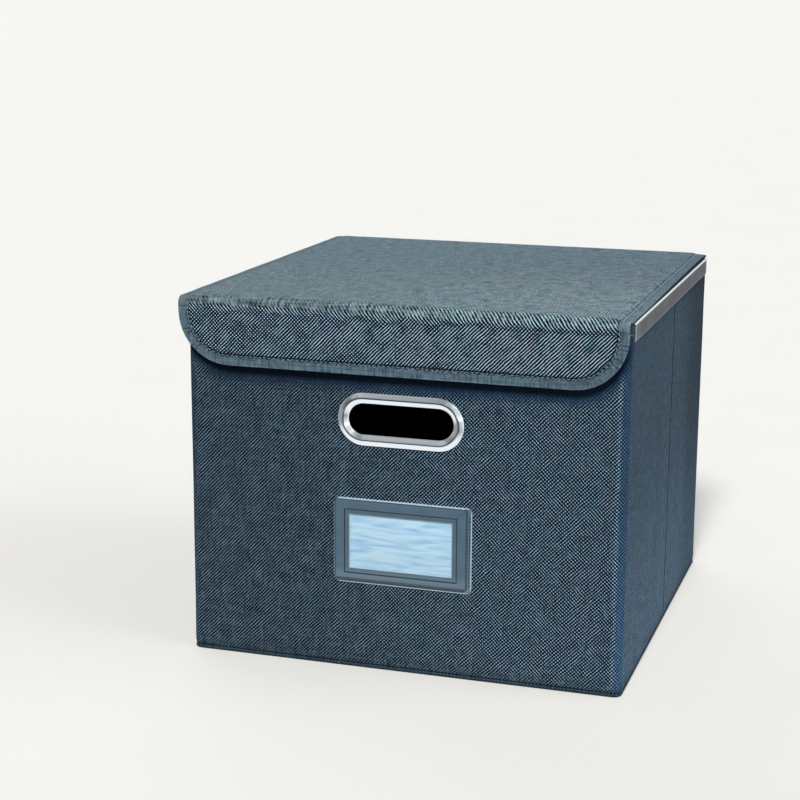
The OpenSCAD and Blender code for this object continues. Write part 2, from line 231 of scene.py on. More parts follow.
def dress(node, finish):
    """Gives a CAD node its finish."""
    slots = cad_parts[node].data.materials
    slots.clear()
    slots.append(finish)


boards = [
    "front_board", "back_board", "left_front_board", "left_rear_board",
    "right_front_board", "right_rear_board", "lid_board", "flap_board", "insert_board",
]
for node in boards:
    dress(node, board_paper)

# ---- Linen cover of the walls --------------------------------------------
# One tube of coarse linen-look cloth, woven from light and dark slate yarns.
# It is pulled over the boards, turns the corners with nothing behind it, dips
# at the side walls' fold lines and is cut open for the two hand grips.


def map_cloth(bm, place, faces=None):
    """Writes the cloth's UV map in metres, from a function of the vertex."""
    uv = bm.loops.layers.uv.get("cloth") or bm.loops.layers.uv.new("cloth")
    for face in faces or bm.faces:
        for corner in face.loops:
            corner[uv].uv = place(corner.vert)


def on_ring(column, half_a, half_b, radius):
    """Point of a rectangle with round corners, for a column of a loft. A pair of
    radii gives the two near and the two far corners their own."""
    side, turning, share = column
    near, far = radius if isinstance(radius, tuple) else (radius, radius)
    corners = [
        (near - half_a, near - half_b, near), (half_a - near, near - half_b, near),
        (half_a - far, half_b - far, far), (far - half_a, half_b - far, far),
    ]
    facing = math.pi * (1 + side / 2)
    a, b, reach = corners[side]
    if turning:
        facing += share * math.pi / 2
    else:
        before = corners[side - 1]
        a, b, reach = (p + share * (q - p) for p, q in zip(before, corners[side]))
    return a + reach * math.cos(facing), b + reach * math.sin(facing)


def columns_of(sides, corner_steps):
    """Columns of a loft: each side's shares, then the steps round its corner."""
    made = []
    for side, shares in enumerate(sides):
        made += [(side, False, s) for s in shares]
        made += [(side, True, k / corner_steps) for k in range(corner_steps)]
    return made


merge_gap = 0.001 * mm


def loft(rings, columns):
    """Band of quads round a rounded rectangle, through rings of (middle a, middle b,
    half a, half b, corner radius, height), with its UV map in metres."""
    bm = bmesh.new()
    across, up = len(columns), len(rings) - 1
    bmesh.ops.create_grid(bm, x_segments=across, y_segments=up, size=1.0)
    low = min(v.co.x for v in bm.verts)
    span = max(v.co.x for v in bm.verts) - low

    def point(i, j):
        middle_a, middle_b, half_a, half_b, radius, height = rings[j]
        a, b = on_ring(columns[i % across], half_a, half_b, radius)
        return Vector((middle_a + a, middle_b + b, height))

    runs, rises = [0.0], [0.0]
    for i in range(across):
        runs.append(runs[-1] + (point(i + 1, 0) - point(i, 0)).length)
    front = next((i for i, c in enumerate(columns) if c[0] == 1), 0)
    for j in range(up):
        rises.append(rises[-1] + (point(front, j + 1) - point(front, j)).length)
    steps = {
        v: (round((v.co.x - low) / span * across), round((v.co.y - low) / span * up))
        for v in bm.verts
    }
    map_cloth(bm, lambda v: (runs[steps[v][0]], rises[steps[v][1]]))
    for vert, (i, j) in steps.items():
        vert.co = point(i, j)
    bmesh.ops.remove_doubles(bm, verts=bm.verts, dist=merge_gap)
    return bm


def finish_piece(name, bm, finish, body, slot, *nodes, crease=40):
    """Makes the mesh an object that rides on its body and stands for its CAD nodes."""
    mesh = bpy.data.meshes.new(name)
    bm.to_mesh(mesh)
    bm.free()
    mesh.shade_smooth()
    mesh.set_sharp_from_angle(angle=math.radians(crease))
    mesh.materials.append(finish)
    made = bpy.data.objects.new(name, mesh)
    scene.collection.objects.link(made)
    if body:
        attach(made, body)
    if nodes:
        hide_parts(*nodes)
    return made


def thicken(made, thickness):
    """Gives a sheet its thickness behind its face."""
    solid = made.modifiers.new("thickness", "SOLIDIFY")
    solid.thickness = thickness
    solid.offset = -1.0


# The photograph shows the weave's diagonals 1.9 mm apart on the front wall
thread_pitch = 1.32 * mm


def linen(name, light, dark, deep, contrast):
    """Woven cloth: crowns of the light warp over dark weft. Numbers on the vertices tell it where
    the crowns line up to the right or left (lean), where the weave stands open, where it is
    lighter or darker (tone, which also carries painted light and shade), where it takes a warmer
    painted light tint, how much of the painted shade's blue it takes, where it is pressed flat in
    a hem, or where it is stitched (seam)."""
    made, add = new_material(name)
    cloth = add("UVMap", uv_map="cloth")
    told = {
        kind: add("Attribute", attribute_name=kind).outputs["Fac"]
        for kind in ("lean", "open", "tone", "faded", "deep", "hem", "seam", "run")
    }
    # Threads that wander, as the cloth isn't stretched evenly
    wander = add(
        "TexNoise", {"Vector": cloth, "Scale": 1 / (9 * mm), "Detail": 2.0}, noise_dimensions="2D"
    )
    from_middle = add(
        "VectorMath", (wander.outputs["Color"], (0.5, 0.5, 0.5)), operation="SUBTRACT"
    )
    threads = add(
        "VectorMath", (from_middle, (1.2 * mm, 0.9 * mm, 0.0), cloth), operation="MULTIPLY_ADD"
    )
    place = add("SeparateXYZ", {"Vector": threads})
    # Which way the crowns line up changes from patch to patch, as tension does
    tension = add(
        "TexNoise", {"Vector": cloth, "Scale": 1 / (13 * mm), "Detail": 1.0},
        noise_dimensions="2D",
    )
    patchy = add("Math", (tension, 0.8, 0.12), operation="MULTIPLY_ADD")
    right_share = add(
        "Math", (told["lean"], 0.5, patchy), operation="MULTIPLY_ADD", use_clamp=True
    )
    left_share = add("Math", (1.0, right_share), operation="SUBTRACT")
    parts = []
    for turn, share in (("SUBTRACT", right_share), ("ADD", left_share)):
        across = add("Math", (place.outputs["X"], place.outputs["Y"]), operation=turn)
        turns = add("Math", (across, math.pi / thread_pitch), operation="MULTIPLY")
        crest = add("Math", (turns,), operation="COSINE")
        parts.append(add("Math", (crest, share), operation="MULTIPLY"))
    weave = add("Math", (parts[0], parts[1]), operation="SUBTRACT")
    # No two crowns stand alike, and the weave is tighter in some places
    grain = add(
        "TexNoise", {"Vector": threads, "Scale": 1 / (1.5 * mm), "Detail": 1.0},
        noise_dimensions="2D",
    )
    tightness = add(
        "TexNoise", {"Vector": cloth, "Scale": 1 / (7 * mm), "Detail": 2.0}, noise_dimensions="2D"
    )
    stand = add("Math", (grain, tightness), operation="MULTIPLY")
    standing = add("MapRange", (stand, 0.12, 0.4, 0.55, 1.6))
    crowns = add("MapRange", (weave, -0.15, 0.8), **smooth)
    # Slubs: threads of either set that are thicker and lighter for a centimetre or two,
    # and flecks where a crown stands proud
    slubs = []
    for size in ((1.5, 22.0), (20.0, 1.5), (2.4, 5.5)):
        spots = add(
            "VectorMath", (threads, (1 / (size[0] * mm), 1 / (size[1] * mm), 0.0)),
            operation="MULTIPLY",
        )
        slubs.append(
            add("TexNoise", {"Vector": spots, "Scale": 1.0, "Detail": 2.0}, noise_dimensions="2D")
        )
    slub_sum = add("Math", (slubs[0], slubs[1]), operation="ADD")
    uneven = add("Math", (slub_sum, slubs[2]), operation="ADD")
    # How far the light yarn shows: most where the weave is open, little in hems
    flatness = add("MapRange", (told["hem"], 0.0, 1.0, contrast, 0.05 * contrast))
    show = add("Math", (flatness, told["open"]), operation="MULTIPLY")
    centred = add("Math", (crowns, 0.42), operation="SUBTRACT")
    uneven_crowns = add("Math", (centred, standing), operation="MULTIPLY")
    gap_shade = add("MapRange", (told["open"], 1.1, 2.2, -0.22, -0.66))
    shown = add("Math", (uneven_crowns, show, gap_shade), operation="MULTIPLY_ADD")
    # More flecks where the painted light tint lies
    flecked = add("MapRange", (told["faded"], 0.0, 1.0, 0.34, 0.56))
    flecked = add("MapRange", (told["hem"], 0.0, 1.0, flecked, 0.28))
    middle = add("Math", (uneven, 1.5), operation="SUBTRACT")
    flecks = add("Math", (middle, flecked, 0.51), operation="MULTIPLY_ADD")
    yarn_share = add("Math", (flecks, shown), operation="ADD")
    yarn = add("Mix", {"Factor": yarn_share, 6: dark, 7: light})
    # Painted highlight on the highest crowns
    painted_highlight = add("MapRange", (yarn_share, 0.95, 1.9))
    yarn = add("Mix", {"Factor": painted_highlight, 6: yarn, 7: "#c9d6ee"})
    # Dye that varies from teal to violet grey over a hand's breadth, and a painted light tint,
    # warmer and lighter where the light falls most
    clouds = add(
        "TexNoise", {"Vector": cloth, "Scale": 1 / (30 * mm), "Detail": 3.0},
        noise_dimensions="2D",
    )
    dye = add("Mix", {"Factor": clouds, 6: (0.84, 1.05, 1.0, 1.0), 7: (1.06, 0.97, 1.03, 1.0)})
    dyed = add("Mix", {"Factor": 1.0, 6: yarn, 7: dye}, blend_type="MULTIPLY")
    painted_light_colour = add(
        "Mix", {"Factor": told["faded"], 6: (1.0, 1.0, 1.0, 1.0), 7: (1.12, 1.01, 0.85, 1.0)}
    )
    faded = add("Mix", {"Factor": 1.0, 6: dyed, 7: painted_light_colour}, blend_type="MULTIPLY")
    # Painted shade, mixed towards its blue
    turned = add("Mix", {"Factor": told["deep"], 6: faded, 7: deep})
    # Puckers that run from the stitches to the hem's edge, and dimples at the stitches: their
    # darkening and lightening of the colour is painted shade and painted light, and the puckers
    # also raise the bump
    along = add("Math", (told["run"], 1 / (1.9 * mm)), operation="MULTIPLY")
    gathers = add("TexNoise", {"W": along, "Scale": 1.0, "Detail": 1.0}, noise_dimensions="1D")
    creases = add("MapRange", (gathers, 0.66, 0.74), **smooth)
    puckers = add("Math", (creases, told["hem"]), operation="MULTIPLY")
    pucker_shade = add("Math", (puckers, -0.45, 1.0), operation="MULTIPLY_ADD")
    painted_dimples = add("MapRange", (grain, 0.36, 0.58, 1.45, 0.25))
    dimple_shade = add("MapRange", (told["seam"], 0.0, 1.0, 1.0, painted_dimples))
    shade = add("Math", (dimple_shade, pucker_shade), operation="MULTIPLY")
    shade = add("Math", (shade, told["tone"]), operation="MULTIPLY")
    colour = add("VectorMath", {0: turned, "Scale": shade}, operation="SCALE")
    standing_crowns = add("Math", (uneven_crowns, show), operation="MULTIPLY")
    fold_height = add("Math", (puckers, -1.2, standing_crowns), operation="MULTIPLY_ADD")
    relief = add("Math", (uneven, 0.5, fold_height), operation="MULTIPLY_ADD")
    bump = add("Bump", {"Height": relief, "Strength": 0.6, "Distance": 0.3 * mm})
    surface = add(
        "BsdfPrincipled",
        {
            "Base Color": colour, "Roughness": 0.85, "IOR": 1.45, "Specular IOR Level": 0.15,
            "Sheen Weight": 0.04, "Sheen Roughness": 0.4, "Sheen Tint": "#9fc4e0", "Normal": bump,
        },
    )
    add("OutputMaterial", [surface])
    return made


def tell(bm, name, value):
    """Writes a number on each vertex: a plain one, or a function of the vertex."""
    layer = bm.verts.layers.float.new(name)
    for vert in bm.verts:
        vert[layer] = value(vert) if callable(value) else value


def mark(bm, **values):
    """Writes all the numbers that the linen reads."""
    plain = {
        "lean": 0.1, "open": 1.0, "tone": 1.0, "faded": 0.0, "deep": 0.0, "hem": 0.0,
        "seam": 0.0, "run": 0.0,
    }
    for name, value in (plain | values).items():
        tell(bm, name, value)


# The blue #234469 is the colour of the painted shade
wall_linen = linen("woven_slate_linen", "#a6c5de", "#031628", "#234469", 1.0)
wall_low, wall_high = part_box("wall_cover")
_, rim_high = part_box("rim_binding")
grip_low, grip_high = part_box("front_grip")
rail_low, rail_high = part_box("right_rail")
wall_half_w, wall_half_d = wall_high.x, wall_high.y
corner_r = 6 * mm
fold_y = 8 * mm
linen_t = 0.8 * mm
cell = 8 * mm
fine_cell = 3 * mm
slot_r = 12.2 * mm
slot_half = 27 * mm
slot_z = (grip_low.z + grip_high.z) / 2
slot_reach_x = 48 * mm
slot_reach_z = 21 * mm


def stops(low, high, step, marks=(), fine=(0.0, 0.0), fine_step=None):
    """Places from low to high about a step apart, with finer steps in one stretch and
    exact marks."""
    ends = sorted({low, high, *(m for m in (*marks, *fine) if low < m < high)})
    made = []
    for a, b in zip(ends, ends[1:]):
        inside = fine[0] <= (a + b) / 2 <= fine[1]
        count = max(1, round((b - a) / (fine_step if inside and fine_step else step)))
        made += [a + (b - a) * k / count for k in range(count)]
    return made + [high]


def shares(places):
    """Places turned to shares of the whole stretch, without its end."""
    return [(p - places[0]) / (places[-1] - places[0]) for p in places[:-1]]


straight_w = wall_half_w - corner_r
straight_d = wall_half_d - corner_r
crease_marks = [k * mm for k in (-6, -3.5, -2, -1.2, 0, 1.2, 2, 3.5, 6)]
right_stops = stops(-straight_d, straight_d, cell, [fold_y + m for m in crease_marks])
left_stops = [-y for y in reversed(right_stops)]
corner_marks = [straight_w - k * mm for k in (1, 2.5, 4, 5.5)]
front_stops = stops(
    -straight_w, straight_w, cell, marks=[*corner_marks, *(-m for m in corner_marks)],
    fine=(-slot_reach_x, slot_reach_x), fine_step=fine_cell,
)
wall_sides = [shares(side) for side in (left_stops, front_stops, right_stops, front_stops)]
wall_columns = columns_of(wall_sides, 6)
wall_rows = stops(
    wall_low.z, wall_high.z, cell, marks=[wall_low.z + 1 * mm, wall_low.z + 3 * mm],
    fine=(slot_z - slot_reach_z, slot_z + 2.2 * slot_reach_z), fine_step=fine_cell,
)


def smooth_step(low, high, x):
    """0 below low, 1 above high and a smooth rise between."""
    t = min(1.0, max(0.0, (x - low) / (high - low)))
    return t * t * (3 - 2 * t)


def open_slots(bm):
    """Cuts the two grip slots out of walls that are finer than their curve."""

    def from_oval(x, z):
        middle = min(slot_half, max(-slot_half, x))
        return Vector((middle, slot_z)), Vector((x - middle, z - slot_z))

    def inside(face):
        spot = face.calc_center_median()
        return abs(spot.y) > straight_d and from_oval(spot.x, spot.z)[1].length < slot_r

    gone = [f for f in bm.faces if inside(f)]
    rims = {v for f in gone for v in f.verts}
    bmesh.ops.delete(bm, geom=gone, context="FACES")
    for vert in rims:
        if vert.is_valid:
            middle, away = from_oval(vert.co.x, vert.co.z)
            spot = middle + away.normalized() * slot_r
            vert.co.x, vert.co.z = spot.x, spot.y


bm = loft([(0, 0, wall_half_w, wall_half_d, corner_r, z) for z in wall_rows], wall_columns)
open_slots(bm)
bm.normal_update()
for vert in bm.verts:
    x, y, z = vert.co
    out = vert.normal.copy()
    out.z = 0.0
    # Tucked in over the piping, and slack by a few tenths between the boards' edges
    push = -0.5 * mm * (1 - smooth_step(wall_low.z, wall_low.z + 3 * mm, z))
    loose = smooth_step(8 * mm, 40 * mm, z) * smooth_step(8 * mm, 30 * mm, wall_high.z - z)
    if abs(x) > straight_w and abs(y) < straight_d:
        gap = abs(y - fold_y)
        push -= 0.5 * mm * (1 - smooth_step(0.0, 1.6 * mm, gap))
        panel = smooth_step(1.5 * mm, 40 * mm, gap)
        panel *= smooth_step(0.0, 35 * mm, straight_d - abs(y))
        push += 0.7 * mm * loose * panel
    else:
        push -= 0.15 * mm * loose * (1 + noise.noise(Vector((x, y, z)) * 22))
    vert.co += out * push


flap_low, flap_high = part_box("flap_cover")
flap_r = 38 * mm


def flap_painted_shadow(vert):
    """Painted shadow of the flap: 1 on the front wall along the flap's edge, fading out up behind
    the flap and further down the wall. It also flattens the weave's contrast there."""
    x, y, z = vert.co
    if y > -straight_d:
        return 0.0
    flap_x = (flap_low.x + flap_high.x) / 2
    outward = abs(x - flap_x) - (flap_high.x - flap_low.x) / 2 + flap_r
    rise = flap_r - math.sqrt(flap_r ** 2 - min(flap_r, max(0.0, outward)) ** 2)
    below = flap_low.z + rise - z
    return (1 - smooth_step(6 * mm, 16 * mm, below)) * smooth_step(-12 * mm, -1 * mm, below)


def wall_tone_and_painted_light(vert):
    """Tone and painted light of the walls. Painted shade keeps them darker than the lid and flap,
    darkens the side walls' rear, the fold line, the corners' turn and the cloth just above the
    piping, and holds the flap's painted shadow; painted highlights lie on the lip beside the fold
    line and on the front's and back's edge at the corners, and painted light low on the side
    walls. The front is lighter towards the right.
    """
    x, y, z = vert.co
    # Painted shade just above the piping
    above_piping = 0.8 + 0.2 * smooth_step(3 * mm, 12 * mm, z)
    # The walls' level, lower than the lid's and flap's, is painted shade; the front is lighter
    # towards the right
    tone = (0.44 + 0.23 * smooth_step(-0.10, 0.12, x)) * above_piping
    if abs(x) > straight_w:
        gap = abs(y - fold_y)
        # Painted light low on the side walls, and painted shade towards their rear
        tone *= 0.93 + 0.66 * (1 - smooth_step(0.0, 0.18, z)) - 0.53 * smooth_step(0.02, 0.14, y)
        tone *= 1 + 0.14 * noise.noise(Vector((y * 90, z * 5, 0.0)))
        # Painted shade in the fold line, and a painted highlight on the lip beside it
        tone *= 1 - 0.75 * (1 - smooth_step(1.2 * mm, 3.0 * mm, gap))
        beside = 1 - smooth_step(3.5 * mm, 6 * mm, gap)
        tone *= 1 + 0.4 * smooth_step(2.0 * mm, 3.5 * mm, gap) * beside
    else:
        # Painted highlight on the front's and back's edge before the corner, and painted shade on
        # the corner's turn
        painted_edge_highlight = smooth_step(-2.5 * mm, -0.5 * mm, x - straight_w)
        turned = smooth_step(0.0, 1.5 * mm, x - straight_w)
        tone *= 1 + 0.5 * painted_edge_highlight * (1 - turned) - 0.24 * turned
    # The flap's painted shadow
    return tone * (1 - 0.4 * flap_painted_shadow(vert))


def corner_deep(vert):
    """Painted shade on the turn of an upright corner, 0.6 on the right and 0.4 on the left, and
    0.8 of the flap's painted shadow.
    """
    x, y = abs(vert.co.x), abs(vert.co.y)
    if y < straight_d - 0.1 * mm:
        return 0.0
    turned = smooth_step(0.2 * mm, 1.8 * mm, x - straight_w)
    turned *= smooth_step(-0.1 * mm, 0.6 * mm, y - straight_d)
    return max(turned * (0.6 if vert.co.x > 0 else 0.4), 0.8 * flap_painted_shadow(vert))


def wall_open(vert):
    """The weave stands more open towards the right of the front wall, and shows less in the flap's
    painted shadow.
    """
    x, y, z = vert.co
    above_piping = 0.4 + 0.6 * smooth_step(2 * mm, 16 * mm, z)
    openness = (0.75 + 0.4 * smooth_step(-0.09, 0.10, x)) * above_piping
    return openness * (1 - 0.5 * flap_painted_shadow(vert))


mark(
    bm, tone=wall_tone_and_painted_light, deep=corner_deep, open=wall_open,
    lean=lambda v: 0.34 - 0.38 * smooth_step(-0.09, 0.11, v.co.x),
)
wall_piece = finish_piece("wall_linen", bm, wall_linen, "box", "linen", "wall_cover")
thicken(wall_piece, linen_t)
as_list(boards[:6])

# ---- Lining of the walls -------------------------------------------------
# Dark non-woven felt, bonded with small dots, glued to the boards' inner faces.
# Its top edge goes under the tape that binds the rim.

lining_t = 0.5 * mm
lining_low, lining_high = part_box("wall_lining")
lining_half_w, lining_half_d = lining_high.x - lining_t, lining_high.y - lining_t
lining_r = corner_r - (wall_half_w - lining_half_w)

lining_felt, add = new_material("bonded_non_woven_lining")
places = add("TexCoord").outputs["Object"]
fibres = add("TexNoise", {"Vector": places, "Scale": 1 / (1.6 * mm), "Detail": 5.0})
# Bond dots, 2 mm apart
bonds = add("TexVoronoi", {"Vector": places, "Scale": 1 / (2 * mm), "Randomness": 0.15})
felt_tone = add("Mix", {"Factor": fibres, 6: "#1c242b", 7: "#39444e"})
felt_relief = add("Math", (bonds, fibres), operation="ADD")
felt_bump = add("Bump", {"Height": felt_relief, "Strength": 0.5, "Distance": 0.2 * mm})
felt_surface = add(
    "BsdfPrincipled",
    {"Base Color": felt_tone, "Roughness": 0.9, "Sheen Weight": 0.2, "Normal": felt_bump},
)
add("OutputMaterial", [felt_surface])

lining_rows = stops(
    lining_low.z, lining_high.z, cell,
    fine=(slot_z - slot_reach_z, slot_z + slot_reach_z), fine_step=fine_cell,
)
bm = loft(
    [(0, 0, lining_half_w, lining_half_d, lining_r, z) for z in reversed(lining_rows)],
    wall_columns,
)
open_slots(bm)
bm.normal_update()
for vert in bm.verts:
    rise = smooth_step(10 * mm, 50 * mm, vert.co.z)
    rise *= smooth_step(10 * mm, 40 * mm, lining_high.z - vert.co.z)
    vert.co += vert.normal * (0.25 * mm * rise * (noise.noise(vert.co * 18) + 0.6))
lining_piece = finish_piece("wall_lining_felt", bm, lining_felt, "box", "lining", "wall_lining")
thicken(lining_piece, lining_t)
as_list(boards[:6])

# ---- Tape round the rim --------------------------------------------------
# A strip of the same cloth folded over the walls' top edge and sewn through,
# close to its lower edge.

tape_linen = linen("linen_tape", "#6d8699", "#071726", "#1f4470", 0.8)
wall_t = wall_half_w - lining_half_w
tape_groove = 6.5
# Distance inward from the wall's face, and distance below the rim's top
tape_section = [
    (0.0, 10.0), (-0.02, 8.0), (-0.03, 6.9), (0.12, tape_groove), (-0.03, 6.1), (-0.03, 4.0),
    (0.0, 1.4), (0.2, 0.6), (0.6, 0.15), (1.2, 0.0), (2.5, 0.0), (3.1, 0.15), (3.5, 0.6),
    (3.7, 1.4), (3.7, 4.0), (3.7, 6.1), (3.58, tape_groove), (3.7, 6.9), (3.7, 10.0),
]
bm = loft(
    [
        (0, 0, wall_half_w - a * mm, wall_half_d - a * mm, corner_r - a * mm, rim_high.z - b * mm)
        for a, b in tape_section
    ],
    wall_columns,
)
mark(bm, hem=0.6, run=lambda v: v.co.x + v.co.y)
tape_piece = finish_piece("rim_tape", bm, tape_linen, "box", "linen_tape", "rim_binding")
thicken(tape_piece, linen_t)
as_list(boards[:6])


# Stitches are separate beads of thread, so that light and shade model each one
thread_colour = "#93b0c4"
sewing_thread, add = new_material("polyester_sewing_thread")
places = add("TexCoord").outputs["Object"]
plies = add("TexNoise", {"Vector": places, "Scale": 1 / (3 * mm), "Detail": 3.0})
thread_tone = add("Mix", {"Factor": plies, 6: "#4c6a80", 7: thread_colour})
thread_surface = add(
    "BsdfPrincipled", {"Base Color": thread_tone, "Roughness": 0.5, "Sheen Weight": 0.3}
)
add("OutputMaterial", [thread_surface])


def sew(line, pitch, length, thickness, height):
    """A row of thread beads, a pitch apart, laid along a line of flat points."""
    reached = [0.0]
    for a, b in zip(line, line[1:]):
        reached.append(reached[-1] + (b - a).length)
    count = int(reached[-1] / pitch)
    pitch = reached[-1] / count
    bm = bmesh.new()
    shape = Matrix.Diagonal((length / 2, thickness / 2, thickness / 2, 1.0))
    first = Matrix.Translation((pitch / 2, 0.0, 0.0)) @ shape
    bmesh.ops.create_uvsphere(bm, u_segments=6, v_segments=4, radius=1.0, matrix=first)
    made = 1
    while made < count:
        copied = bmesh.ops.duplicate(bm, geom=bm.verts[:] + bm.edges[:] + bm.faces[:])
        verts = [g for g in copied["geom"] if isinstance(g, bmesh.types.BMVert)]
        bmesh.ops.translate(bm, vec=(made * pitch, 0.0, 0.0), verts=verts)
        made *= 2
    surplus = [v for v in bm.verts if v.co.x > reached[-1]]
    bmesh.ops.delete(bm, geom=surplus, context="VERTS")
    for vert in bm.verts:
        k = min(bisect.bisect_right(reached, vert.co.x), len(line) - 1)
        a, b = line[k - 1], line[k]
        along = (b - a).normalized()
        spot = a + along * (vert.co.x - reached[k - 1])
        spot += Vector((-along.y, along.x)) * vert.co.y
        vert.co = (spot.x, spot.y, vert.co.z + height)
    return bm


def join(parts):
    """One mesh out of several."""
    made = bmesh.new()
    for part in parts:
        holder = bpy.data.meshes.new("part")
        part.to_mesh(holder)
        part.free()
        made.from_mesh(holder)
        bpy.data.meshes.remove(holder)
    return made


def wall_path(inset):
    """Points round the walls, that far in from their outer face."""
    half_w, half_d, radius = wall_half_w - inset, wall_half_d - inset, corner_r - inset
    columns = columns_of([[0.0]] * 4, 8)
    made = [Vector(on_ring(c, half_w, half_d, radius)) for c in columns]
    return made + made[:1]


tape_stitch_z = rim_high.z - tape_groove * mm
stitch_pitch, stitch_l, stitch_t = 3.6 * mm, 2.8 * mm, 0.45 * mm
bm = join(
    sew(wall_path(inset), stitch_pitch, stitch_l, stitch_t, tape_stitch_z)
    for inset in (0.05 * mm, wall_t - 0.05 * mm)
)
finish_piece("rim_stitches", bm, sewing_thread, "box", "linen_tape")

# ---- Base ----------------------------------------------------------------
# A linen panel closes the underside, with the lining glued on it inside. A
# roll of the same cloth, the piping, is sewn round the bottom edge.

_, piping_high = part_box("base_piping")
piping_r = piping_high.z / 2
piping_columns = columns_of(wall_sides, 5)
bm = loft(
    [
        (
            0, 0, wall_half_w - piping_r * (1 - math.cos(turn)),
            wall_half_d - piping_r * (1 - math.cos(turn)),
            corner_r - piping_r * (1 - math.cos(turn)), piping_r * (1 + math.sin(turn)),
        )
        for turn in [math.radians(30 * k) for k in range(13)]
    ],
    piping_columns,
)
bm.normal_update()
for vert in bm.verts:
    if piping_r < vert.co.z < 2 * piping_r:
        vert.co -= vert.normal * (0.1 * mm * (1 + noise.noise(vert.co * 160)))
mark(bm, hem=0.7, tone=0.6, run=lambda v: v.co.x + v.co.y)
finish_piece("bottom_piping", bm, tape_linen, "box", "linen_tape", "base_piping")


def cut_cells(bm, across, down):
    """Cuts a flat piece along lines across it and lines down it."""
    for axis, places in ((Vector((1, 0, 0)), across), (Vector((0, 1, 0)), down)):
        for at in places:
            bmesh.ops.bisect_plane(
                bm, geom=bm.verts[:] + bm.edges[:] + bm.faces[:],
                dist=merge_gap, plane_co=axis * at, plane_no=axis,
            )


def plate(half_w, half_d, radius, z0, z1, edge, columns):
    """Flat plate with softened edges, cut into cells for its UV map."""
    rings = [
        (0, 0, half_w - edge, half_d - edge, radius, z0),
        (0, 0, half_w, half_d, radius, z0 + edge), (0, 0, half_w, half_d, radius, z1 - edge),
        (0, 0, half_w - 0.3 * edge, half_d - 0.3 * edge, radius, z1 - 0.3 * edge),
        (0, 0, half_w - edge, half_d - edge, radius, z1),
    ]
    bm = loft(rings, columns)
    bmesh.ops.edgeloop_fill(bm, edges=[e for e in bm.edges if e.is_boundary])
    cut_cells(bm, *(stops(-half, half, 4 * cell)[1:-1] for half in (half_w, half_d)))
    map_cloth(bm, lambda v: v.co.xy, [f for f in bm.faces if abs(f.normal.z) > 0.9])
    bmesh.ops.recalc_face_normals(bm, faces=bm.faces)
    return bm


plate_columns = columns_of([[0.0]] * 4, 6)
panel_low, panel_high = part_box("base_panel")
bm = plate(
    panel_high.x, panel_high.y, corner_r - 2 * piping_r,
    panel_low.z, panel_high.z, 0.25 * mm, plate_columns,
)
mark(bm, hem=0.3)
base_piece = finish_piece("base_linen", bm, tape_linen, "box", "linen_tape", "base_panel")

floor_low, floor_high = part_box("base_lining")
bm = plate(
    floor_high.x, floor_high.y, lining_r, floor_low.z, floor_high.z, 0.1 * mm, plate_columns
)
floor_felt = finish_piece("base_lining_felt", bm, lining_felt, "box", "lining", "base_lining")

# ---- Loose floor insert --------------------------------------------------
# A board wrapped in the lining's felt: a top cloth drawn over its edges and a
# bottom cloth glued on. It drops in and keeps the folding walls square.

_, insert_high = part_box("insert_top_cloth")
sole_low, sole_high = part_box("insert_bottom_cloth")
insert_r = 3 * mm
insert_columns = columns_of([[0.0]] * 4, 5)
half_w, half_d = insert_high.x, insert_high.y
insert_drop = (insert_high.z - sole_high.z) / mm
bm = loft(
    [
        (0, 0, half_w - a * mm, half_d - a * mm, insert_r, insert_high.z - b * mm)
        for a, b in ((0.0, insert_drop), (0.0, 1.0), (0.1, 0.6), (0.4, 0.2), (1.0, 0.0))
    ],
    insert_columns,
)
top_rim = [e for e in bm.edges if e.is_boundary and e.verts[0].co.z > insert_high.z - 0.05 * mm]
bmesh.ops.edgeloop_fill(bm, edges=top_rim)
cut_cells(bm, *(stops(-half, half, 2 * cell)[1:-1] for half in (half_w, half_d)))
for vert in bm.verts:
    if vert.co.z > insert_high.z - 0.05 * mm:
        slack = smooth_step(0.0, 30 * mm, half_w - abs(vert.co.x))
        slack *= smooth_step(0.0, 30 * mm, half_d - abs(vert.co.y))
        vert.co.z -= 0.12 * mm * slack * (1 + noise.noise(vert.co * 30))
insert_top = finish_piece(
    "insert_top_felt", bm, lining_felt, "insert", "lining", "insert_top_cloth"
)
thicken(insert_top, 0.45 * mm)
bm = plate(sole_high.x, sole_high.y, insert_r, sole_low.z, sole_high.z, 0.1 * mm, insert_columns)
insert_sole = finish_piece(
    "insert_bottom_felt", bm, lining_felt, "insert", "lining", "insert_bottom_cloth"
)

# ---- Rails ---------------------------------------------------------------
# Channels of zinc-plated sheet steel, roll formed with rounded edges and pushed
# over the side walls. The drawing leaves fine lines along their length.

rail_steel, add = new_material("zinc_plated_steel_strip")
places = add("TexCoord").outputs["Object"]
along = add(
    "Mapping", {"Vector": places, "Scale": (1 / (0.5 * mm), 1 / (90 * mm), 1 / (0.5 * mm))}
)
lines = add("TexNoise", {"Vector": along, "Scale": 1.0, "Detail": 4.0})
spangle = add("TexNoise", {"Vector": places, "Scale": 1 / (55 * mm), "Detail": 3.0})
clouded = add("MapRange", (spangle, 0.38, 0.62))
